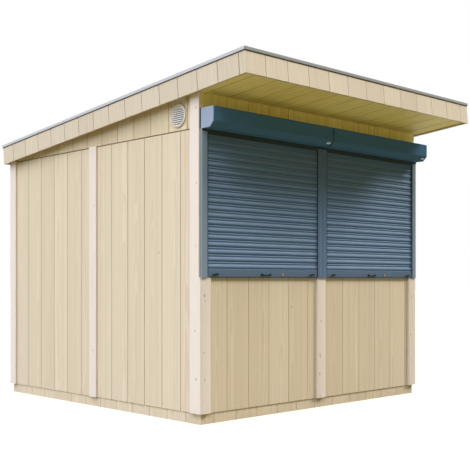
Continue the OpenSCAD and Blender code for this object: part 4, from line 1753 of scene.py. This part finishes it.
        # Collars and lips are dark bands of painted shade under the boxes; the foam bed paints the shade in
        # the rebate
        collar = rectangle(0.0, self.guide_w, deep + gap, deep + gap + self.shade_collar_t)
        bed = rectangle(gap, self.rebate_in, 0.0, self.rebate)
        lip = rectangle(front, deep - gap, high.z - self.exit_lip_and_shade_h, high.z)
        seals, foam = PieceMesh("shutter_guide_seals_and_shade"), PieceMesh("shutter_guide_shade_beds")
        for place in self.guide_places():
            seals.prism(brush, foot, high.z, place)
            seals.prism(collar, high.z - self.shade_collar_h, high.z, place)
            foam.prism(bed, foot, high.z, place)
        for start in self.starts:
            seals.prism(lip, start + inset, start + self.width - inset, self.lengthwise)
        self.shop.deliver(seals.finish(), SEAL_AND_SHADE_PLASTIC)
        self.shop.deliver(foam.finish(), GUIDE_SHADE_FOAM)

    def bulge(self, foot: float, height: float, face: float, steps: int) -> list[Point2]:
        """Draws the rounded front of a slat over one stretch of its height, from below.

        Args:
            foot: Where the stretch starts.
            height: Its height.
            face: How far it stands out.
            steps: Number of segments.

        Returns:
            Points as outwards and up.
        """
        rise = face - self.neck_t
        radius = (height * height / 4 + rise * rise) / (2 * rise)
        half_turn = math.asin(height / 2 / radius)
        points = []
        for step in range(steps + 1):
            turn = half_turn * (2 * step / steps - 1)
            out = face - radius + radius * math.cos(turn)
            points.append((out, foot + height / 2 + radius * math.sin(turn)))
        return points

    def curtain_outline(self, thick: float, height: float) -> list[Point2]:
        """Draws the side view of a curtain, outwards from its back and up.

        Args:
            thick: Thickness of the slats.
            height: Height of the curtain.

        Returns:
            The outline: each slat has a neck, a bead and a wide rounded body. The lowest one is
            tucked into the bottom rail.
        """
        body = self.slat_pitch - self.slat_bead - self.slat_neck
        outline = []
        foot = -self.slat_tuck
        while foot < height:
            bead = foot + self.slat_neck
            outline.append((self.neck_t, foot))
            outline += self.bulge(bead, self.slat_bead, self.bead_t, self.bead_steps)
            outline += self.bulge(bead + self.slat_bead, body, thick, self.body_steps)
            foot += self.slat_pitch
        shown = [point for point in outline if 0.0 < point[1] < height]
        return [(0.0, 0.0), (shown[0][0], 0.0), *shown, (shown[-1][0], height), (0.0, height)]

    def curtain(self, side: str) -> None:
        """Builds one curtain of slats.

        Args:
            side: Which shutter.
        """
        low, high = self.curtains[side]
        outline = self.curtain_outline(high.y - low.y, high.z - low.z)
        mesh = PieceMesh(side + "_slat_curtain")
        mesh.prism(outline, low.x, high.x, axes(Vector((0.0, high.y, low.z)), -DEEP, UP, ACROSS))
        self.shop.deliver(mesh.finish(self.slat_smooth_deg), SLAT_PAINT_AND_HIGHLIGHT, side + "_curtain")

    def rails(self) -> None:
        """Builds the bottom rails, their tongues in the guides and the seals under them."""
        low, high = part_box("shutter_bottom_rails")
        curtain = self.curtains["left"]
        thin = (curtain[1].y - curtain[0].y) / 2
        half = self.rail_t / 2
        place = axes(DEEP * self.middle_y, -DEEP, UP, ACROSS)
        bar = rounded(rectangle(-half, half, low.z, high.z), self.rail_round)
        face_top = bar.index(max(bar))
        bar[face_top:face_top] = self._seam(half, high.z - self.seam_down)
        tongue = rectangle(-thin, thin, low.z, high.z)
        seal = rectangle(-self.seal_t / 2, self.seal_t / 2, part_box("shutter_guides")[0].z, low.z)
        rails, seals = PieceMesh("shutter_rail_bars"), PieceMesh("shutter_rail_seals")
        inset = self.guide_w + self.slot_clear
        for start in self.starts:
            end = start + self.width
            rails.prism(bar, start + inset, end - inset, place)
            rails.prism(tongue, start + self.curtain_inset, start + inset, place)
            rails.prism(tongue, end - inset, end - self.curtain_inset, place)
            seals.prism(seal, start + inset, end - inset, place)
        self.shop.deliver(rails.finish(), SHUTTER_PAINT, "shutter_bottom_rails")
        self.shop.deliver(seals.finish(), LATCH_AND_SHADE_PLASTIC)

    def build(self) -> None:
        """Builds both shutters."""
        self.boxes()
        self.caps()
        self.guides()
        self.guide_seals()
        for side in self.curtains:
            self.curtain(side)
        self.rails()
        ShutterFittings(self.shop, self).build()


@dataclass
class ShutterFittings:
    """The levers, lock cases, key cylinders and crank eyes of the shutters."""

    shop: Workshop
    shutters: RollerShutters
    lever_len: float = 0.055
    lever_h: float = 0.014
    lever_inset: float = 0.122
    lever_round: float = 0.0008
    pivot_d: float = 0.011
    pivot_steps: int = 16
    lock_len: float = 0.096
    lock_h: float = 0.016
    lock_grip: float = 0.030
    lock_round: float = 0.0015
    grip_round: float = 0.001
    plate_t: float = 0.004
    grip_t: float = 0.008
    corner_round: float = 0.004
    key_d: float = 0.018
    core_share: float = 0.62
    keyway_floor: float = 0.4
    core_height: float = 0.9
    key_offset: float = 0.173
    keyway_w: float = 0.0018
    key_steps: int = 32
    crank_len: float = 0.040
    crank_h: float = 0.014
    crank_t: float = 0.003
    crank_inset: float = 0.020
    eye_d: float = 0.008
    eye_hole: float = 0.0036
    eye_steps: int = 20
    wire_steps: int = 8
    post_share: float = 1.3

    # Outlines as shares of half the length and half the height
    LEVER: ClassVar[tuple[Point2, ...]] = (
        (-1.0, -1.0), (0.15, -0.75), (1.0, -0.4), (1.0, 1.0), (0.3, 1.0), (-0.4, 0.5), (-1.0, -0.1),
    )
    LOCK_BAR: ClassVar[tuple[Point2, ...]] = ((-1.0, -1.0), (1.0, -1.0), (1.0, -0.2), (-1.0, -0.2))

    # Foot and head of a lock's grip as shares of half its height, and how far its head slopes in
    GRIP_FOOT: ClassVar[float] = -0.7
    GRIP_HEAD: ClassVar[float] = 0.9
    GRIP_SLOPE: ClassVar[float] = 1 / 3

    # Rest of a collar's section: radius in key radii or core radii, and height in plates
    COLLAR_EDGE: ClassVar[float] = 0.6
    COLLAR_BEVEL: ClassVar[float] = 0.9
    COLLAR_LIP: ClassVar[float] = 1.08
    COLLAR_WELL: ClassVar[float] = 0.85

    def __post_init__(self) -> None:
        """Finds the middle height of the fittings on the rail."""
        low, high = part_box("shutter_key_cylinders")
        self.height = (low.z + high.z) / 2

    def _on_rail(self, x: float) -> Matrix:
        """Returns a frame on the face of a rail: across, up and outwards."""
        return axes(Vector((x, self.shutters.rail_face, self.height)), ACROSS, UP, -DEEP)

    def _lever(self, mesh: PieceMesh, x: float) -> None:
        """Adds a slanted latch lever on its pivot.

        Args:
            mesh: The mesh that takes it.
            x: Middle of the lever.
        """
        half, rise = self.lever_len / 2, self.lever_h / 2
        lever = rounded([(u * half, v * rise) for u, v in self.LEVER], self.lever_round, SMALL_CORNER_STEPS)
        mesh.prism(disc(self.pivot_d / 2, self.pivot_steps), 0.0, self.plate_t, self._on_rail(x))
        mesh.prism(lever, self.plate_t, self.grip_t, self._on_rail(x))

    def _lock(self, mesh: PieceMesh, x: float) -> None:
        """Adds a lock case with a raised grip at each end.

        Args:
            mesh: The mesh that takes it.
            x: Middle of the lock.
        """
        half, rise = self.lock_len / 2, self.lock_h / 2
        bar = rounded([(u * half, v * rise) for u, v in self.LOCK_BAR], self.lock_round)
        mesh.prism(bar, 0.0, self.plate_t, self._on_rail(x))
        inner, slope = half - self.lock_grip, half - self.lock_grip * self.GRIP_SLOPE
        foot, head = self.GRIP_FOOT * rise, self.GRIP_HEAD * rise
        for side in (-1, 1):
            grip = [(side * inner, foot), (side * half, -rise), (side * half, head), (side * slope, head)]
            grip = rounded(grip, self.grip_round, SMALL_CORNER_STEPS)
            mesh.prism(grip, self.plate_t / 2, self.grip_t, self._on_rail(x))

    def latches(self) -> None:
        """Builds the lever at each end of a rail and the lock case at its middle."""
        mesh = PieceMesh("shutter_latch_levers")
        width = self.shutters.width
        for start in self.shutters.starts:
            self._lever(mesh, start + self.lever_inset)
            self._lever(mesh, start + width - self.lever_inset)
            self._lock(mesh, start + width / 2)
        self.shop.deliver(mesh.finish(), LATCH_AND_SHADE_PLASTIC, "shutter_latches")

    def keys(self) -> None:
        """Builds the key cylinders, each a collar round a core that is split by the keyway."""
        mesh = PieceMesh("shutter_key_locks")
        radius, top = self.key_d / 2, self.plate_t
        core = radius * self.core_share
        floor = top * self.keyway_floor
        collar = [
            (core, 0.0), (radius, 0.0), (radius, top * self.COLLAR_EDGE), (radius * self.COLLAR_BEVEL, top),
            (core * self.COLLAR_LIP, top), (core, top * self.COLLAR_WELL),
        ]
        limit = math.acos(self.keyway_w / 2 / core)
        arc = [limit * (2 * i / self.key_steps - 1) for i in range(self.key_steps + 1)]
        segment = [(core * math.cos(turn), core * math.sin(turn)) for turn in arc]
        for start in self.shutters.starts:
            place = self._on_rail(start + self.shutters.width / 2 + self.key_offset)
            mesh.ring(collar, place, self.key_steps)
            mesh.prism(disc(core, self.key_steps), 0.0, floor, place)
            for turn in (0.0, math.pi):
                half = place @ Matrix.Rotation(turn, 4, "Z")
                mesh.prism(segment, floor, top * self.core_height, half)
        self.shop.deliver(mesh.finish(), KEY_BRASS, "shutter_key_cylinders")

    def crank_eyes(self) -> None:
        """Builds the plate and the eye for the crank on the slanted face of each box."""
        shutters = self.shutters
        half_slant, half_len, half_h = shutters.box_chamfer / 2, self.crank_len / 2, self.crank_h / 2
        out = (-DEEP - UP).normalized()
        rise = (UP - DEEP).normalized()
        plate = rounded(rectangle(-half_len, half_len, -half_h, half_h), self.corner_round)
        eye = self.eye_d / 2
        wire = (eye - self.eye_hole / 2) / 2
        loop = disc(wire, self.wire_steps, eye - wire)
        post = disc(wire * self.post_share, self.eye_steps)
        mesh = PieceMesh("shutter_crank_plates")
        for start in shutters.starts:
            x = start + shutters.width - self.crank_inset - half_len
            spot = Vector((x, shutters.cap_low.y + half_slant, shutters.cap_low.z + half_slant))
            place = axes(spot, ACROSS, rise, out)
            mesh.prism(plate, 0.0, self.crank_t, place)
            mesh.prism(post, self.crank_t, self.crank_t + wire * 2, place)
            mesh.ring(loop, axes(spot + out * (self.crank_t + eye), out, rise, ACROSS), self.eye_steps)
        self.shop.deliver(mesh.finish(), STEEL, "shutter_crank_eyes")

    def build(self) -> None:
        """Builds the fittings."""
        self.latches()
        self.keys()
        self.crank_eyes()


@dataclass
class GableVent:
    """A round louvred vent: rim, flange, spigot, tilted blades and a wire screen."""

    shop: Workshop
    side: str
    facing: Facing
    rim_w: float = 0.010
    rim_edge: float = 0.75
    rim_slope: float = 0.002
    rim_round: float = 0.0012
    flange_t: float = 0.002
    spigot_d: float = 0.1194
    blade_n: int = 10
    blade_depth: float = 0.014
    blade_t: float = 0.0018
    blade_tilt_deg: float = 52.0
    blade_back: float = 0.0004
    blade_round: float = 0.3
    wire: float = 0.0006
    wire_pitch: float = 0.004

    def __post_init__(self) -> None:
        """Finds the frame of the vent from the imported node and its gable."""
        low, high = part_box(self.side + "_vent")
        middle = (low + high) / 2
        self.radius = (high.z - low.z) / 2
        self.inner = self.radius - self.rim_w
        inner, outer = self.facing.faces((low, high))
        face = self.facing.faces(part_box(self.side + "_gable"))[1]
        self.spot = self.facing.out * face + DEEP * middle.y + UP * middle.z
        self.depth = outer - face
        self.inner_end = inner - face

    def body(self) -> None:
        """Builds the moulded body."""
        out, reach, inner = self.depth, self.radius, self.inner
        bore, pipe = self.spigot_d / 2 - self.flange_t, self.spigot_d / 2
        rim = [(inner, 0.0), (reach, 0.0), (reach, out * self.rim_edge), (inner + self.rim_slope, out)]
        place = axes(self.spot, DEEP, UP, self.facing.out)
        mesh = PieceMesh(self.side + "_vent_grille")
        mesh.ring(rounded(rim, self.rim_round), place)
        mesh.ring(rectangle(bore, inner, 0.0, self.flange_t), place)
        mesh.ring(rectangle(bore, pipe, self.inner_end, 0.0), place)
        self._blades(mesh)
        self.shop.deliver(mesh.finish(), VENT_PLASTIC, self.side + "_vent")

    def _blades(self, mesh: PieceMesh) -> None:
        """Adds the blades, each sloping down and out.

        Args:
            mesh: The mesh that takes them.
        """
        tilt = math.radians(self.blade_tilt_deg)
        run = Vector((-math.sin(tilt), math.cos(tilt)))
        skin = Vector((math.cos(tilt), math.sin(tilt))) * self.blade_t / 2
        place = axes(self.spot, UP, self.facing.out, DEEP)
        pitch = 2 * self.inner / self.blade_n
        out = self.flange_t + (self.depth - self.flange_t) / 2 - self.blade_back
        for i in range(self.blade_n):
            middle = Vector((pitch * (i + 0.5) - self.inner, out))
            ends = [middle + run * (self.blade_depth / 2) * sign for sign in (-1, 1)]
            corners = [ends[0] - skin, ends[1] - skin, ends[1] + skin, ends[0] + skin]
            soft = self.blade_t * self.blade_round
            outline = rounded([tuple(corner) for corner in corners], soft, SMALL_CORNER_STEPS)
            mesh.prism(outline, lambda u, v: -chord(u, self.inner), lambda u, v: chord(u, self.inner), place)

    def screen(self) -> None:
        """Weaves the wire screen at the inner end of the spigot."""
        mesh = PieceMesh(self.side + "_vent_screen")
        reach = self.spigot_d / 2 - self.flange_t
        count = int(reach / self.wire_pitch)
        half = self.wire / 2
        layers = ((UP, DEEP, self.inner_end + 2 * half), (DEEP, UP, self.inner_end + 4 * half))
        for across, along, depth in layers:
            place = axes(self.spot, across, self.facing.out, along)
            for i in range(-count, count + 1):
                x = i * self.wire_pitch
                run = chord(x, reach)
                mesh.prism(rectangle(x - half, x + half, depth - half, depth + half), -run, run, place)
        self.shop.deliver(mesh.finish(), SCREEN_WIRE)

    def build(self) -> None:
        """Builds the vent."""
        self.body()
        self.screen()


@dataclass
class Carcass:
    """The timber inside the walls, floor and roof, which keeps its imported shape."""

    shop: Workshop
    upright: tuple[str, ...] = ("front_frame", "back_frame", "left_frame", "right_frame", "door_frame")
    lengthwise: tuple[str, ...] = ("floor_bearers", "floor_deck", "roof_rafters", "roof_deck")

    def build(self) -> None:
        """Dresses the carcass."""
        for node in self.upright:
            self.shop.dress_node(node, FRAME_TIMBER)
        for node in self.lengthwise:
            self.shop.dress_node(node, FLOOR_TIMBER)


@dataclass(frozen=True)
class Lamp:
    """A soft lamp far away: where it shines from, its strength, its spread and its colour."""

    name: str
    origin: tuple[float, float, float]
    strength: float
    spread_deg: float
    colour: Colour

    def hang(self) -> None:
        """Adds the lamp to the scene."""
        lamp = bpy.data.lights.new(self.name, "SUN")
        lamp.energy = self.strength
        lamp.angle = math.radians(self.spread_deg)
        lamp.color = self.colour
        stand = put_in_scene(self.name, lamp)
        stand.rotation_euler = Vector(self.origin).to_track_quat("Z", "Y").to_euler()


@dataclass
class Studio:
    """The camera of the photograph, the floor and the light."""

    place: tuple[float, float, float] = (-5.029, -5.7606, 0.9754)
    heading_deg: float = -44.778
    photo_px: float = 470.0
    focal_px: float = 874.05
    centre_px: float = 267.32
    horizon_px: float = 280.34
    sensor_mm: float = 36.0
    floor_half: float = 60.0
    floor_colour: Colour = (0.24, 0.215, 0.11)
    floor_glow: float = 0.86
    sky: float = 0.08
    sky_colour: Colour = (1.0, 0.85, 0.5)
    lamps: tuple[Lamp, ...] = (
        Lamp("front_lamp", (-0.473, -0.473, 0.743), 0.65, 18.0, (1.0, 0.985, 1.0)),
        Lamp("right_lamp", (0.714, -0.333, 0.616), 3.2, 18.0, (1.0, 0.985, 1.0)),
        Lamp("left_lamp", (-1.0, 0.12, 1.25), 4.75, 85.0, (0.743, 0.807, 1.0)),
    )

    def camera(self) -> None:
        """Adds the camera, level and shifted as the photograph shows."""
        data = bpy.data.cameras.new("photo_camera")
        data.sensor_width = self.sensor_mm
        data.lens = self.sensor_mm * self.focal_px / self.photo_px
        data.shift_x = (self.photo_px / 2 - self.centre_px) / self.photo_px
        data.shift_y = (self.horizon_px - self.photo_px / 2) / self.photo_px
        camera = put_in_scene("photo_camera", data)
        camera.location = self.place
        camera.rotation_euler = (math.pi / 2, 0.0, math.radians(self.heading_deg))
        bpy.context.scene.camera = camera

    @staticmethod
    def _seen(bench: NodeBench) -> Socket:
        """Finds the rays that show the backdrop: from the camera, a reflection or glass.

        Args:
            bench: The bench of the floor or the world.

        Returns:
            1 on those rays and 0 on others.
        """
        path = bench.add("LightPath").outputs
        mirrored = bench.math("MAXIMUM", path["Is Glossy Ray"], path["Is Transmission Ray"])
        return bench.math("MAXIMUM", path["Is Camera Ray"], mirrored)

    def floor(self) -> None:
        """Adds the pale floor, which looks white and keeps the hut's shadow."""
        mesh = bpy.data.meshes.new("studio_floor")
        half = self.floor_half
        mesh.from_pydata([(x, y, 0.0) for x, y in rectangle(-half, half, -half, half)], [], [(0, 1, 2, 3)])
        floor = put_in_scene("studio_floor", mesh)
        material = bpy.data.materials.new("studio_floor")
        bench = blank_bench(material)
        pale = bench.add("BsdfDiffuse", {"Color": rgba(self.floor_colour)})
        glow = bench.add("Emission", {"Strength": bench.times(self._seen(bench), self.floor_glow)})
        both = bench.add("AddShader")
        bench.feed(both.inputs[0], pale.outputs["BSDF"])
        bench.feed(both.inputs[1], glow.outputs["Emission"])
        bench.add("OutputMaterial", {"Surface": both.outputs[0]})
        mesh.materials.append(material)

    def light(self) -> None:
        """Sets an even sky and the soft lamps."""
        world = bpy.data.worlds.new("studio_sky")
        bench = blank_bench(world)
        sky = bench.add("Background", {"Color": rgba(self.sky_colour), "Strength": self.sky})
        white = bench.add("Background", {"Color": rgba((1.0, 1.0, 1.0)), "Strength": 1.0})
        mix = bench.add("MixShader", {"Fac": self._seen(bench)})
        bench.feed(mix.inputs[1], sky.outputs[0])
        bench.feed(mix.inputs[2], white.outputs[0])
        bench.add("OutputWorld", {"Surface": mix.outputs[0]})
        bpy.context.scene.world = world
        for lamp in self.lamps:
            lamp.hang()

    def build(self) -> None:
        """Sets up the whole studio."""
        bpy.context.scene.view_settings.view_transform = "Standard"
        self.camera()
        self.floor()
        self.light()


def main() -> None:
    """Builds the studio and the sub-assemblies in order."""
    logging.basicConfig(level=logging.INFO, format="%(message)s")
    shop = Workshop()
    plane = RoofPlane()
    Studio().build()
    Carcass(shop).build()
    BoardedWalls(shop, plane).build()
    CoverStrips(shop, plane).build()
    BackDoor(shop).build()
    Roof(shop, plane).build()
    RollerShutters(shop).build()
    for side, facing in SIDES.items():
        GableVent(shop, side, facing).build()


if __name__ == "__main__":
    main()
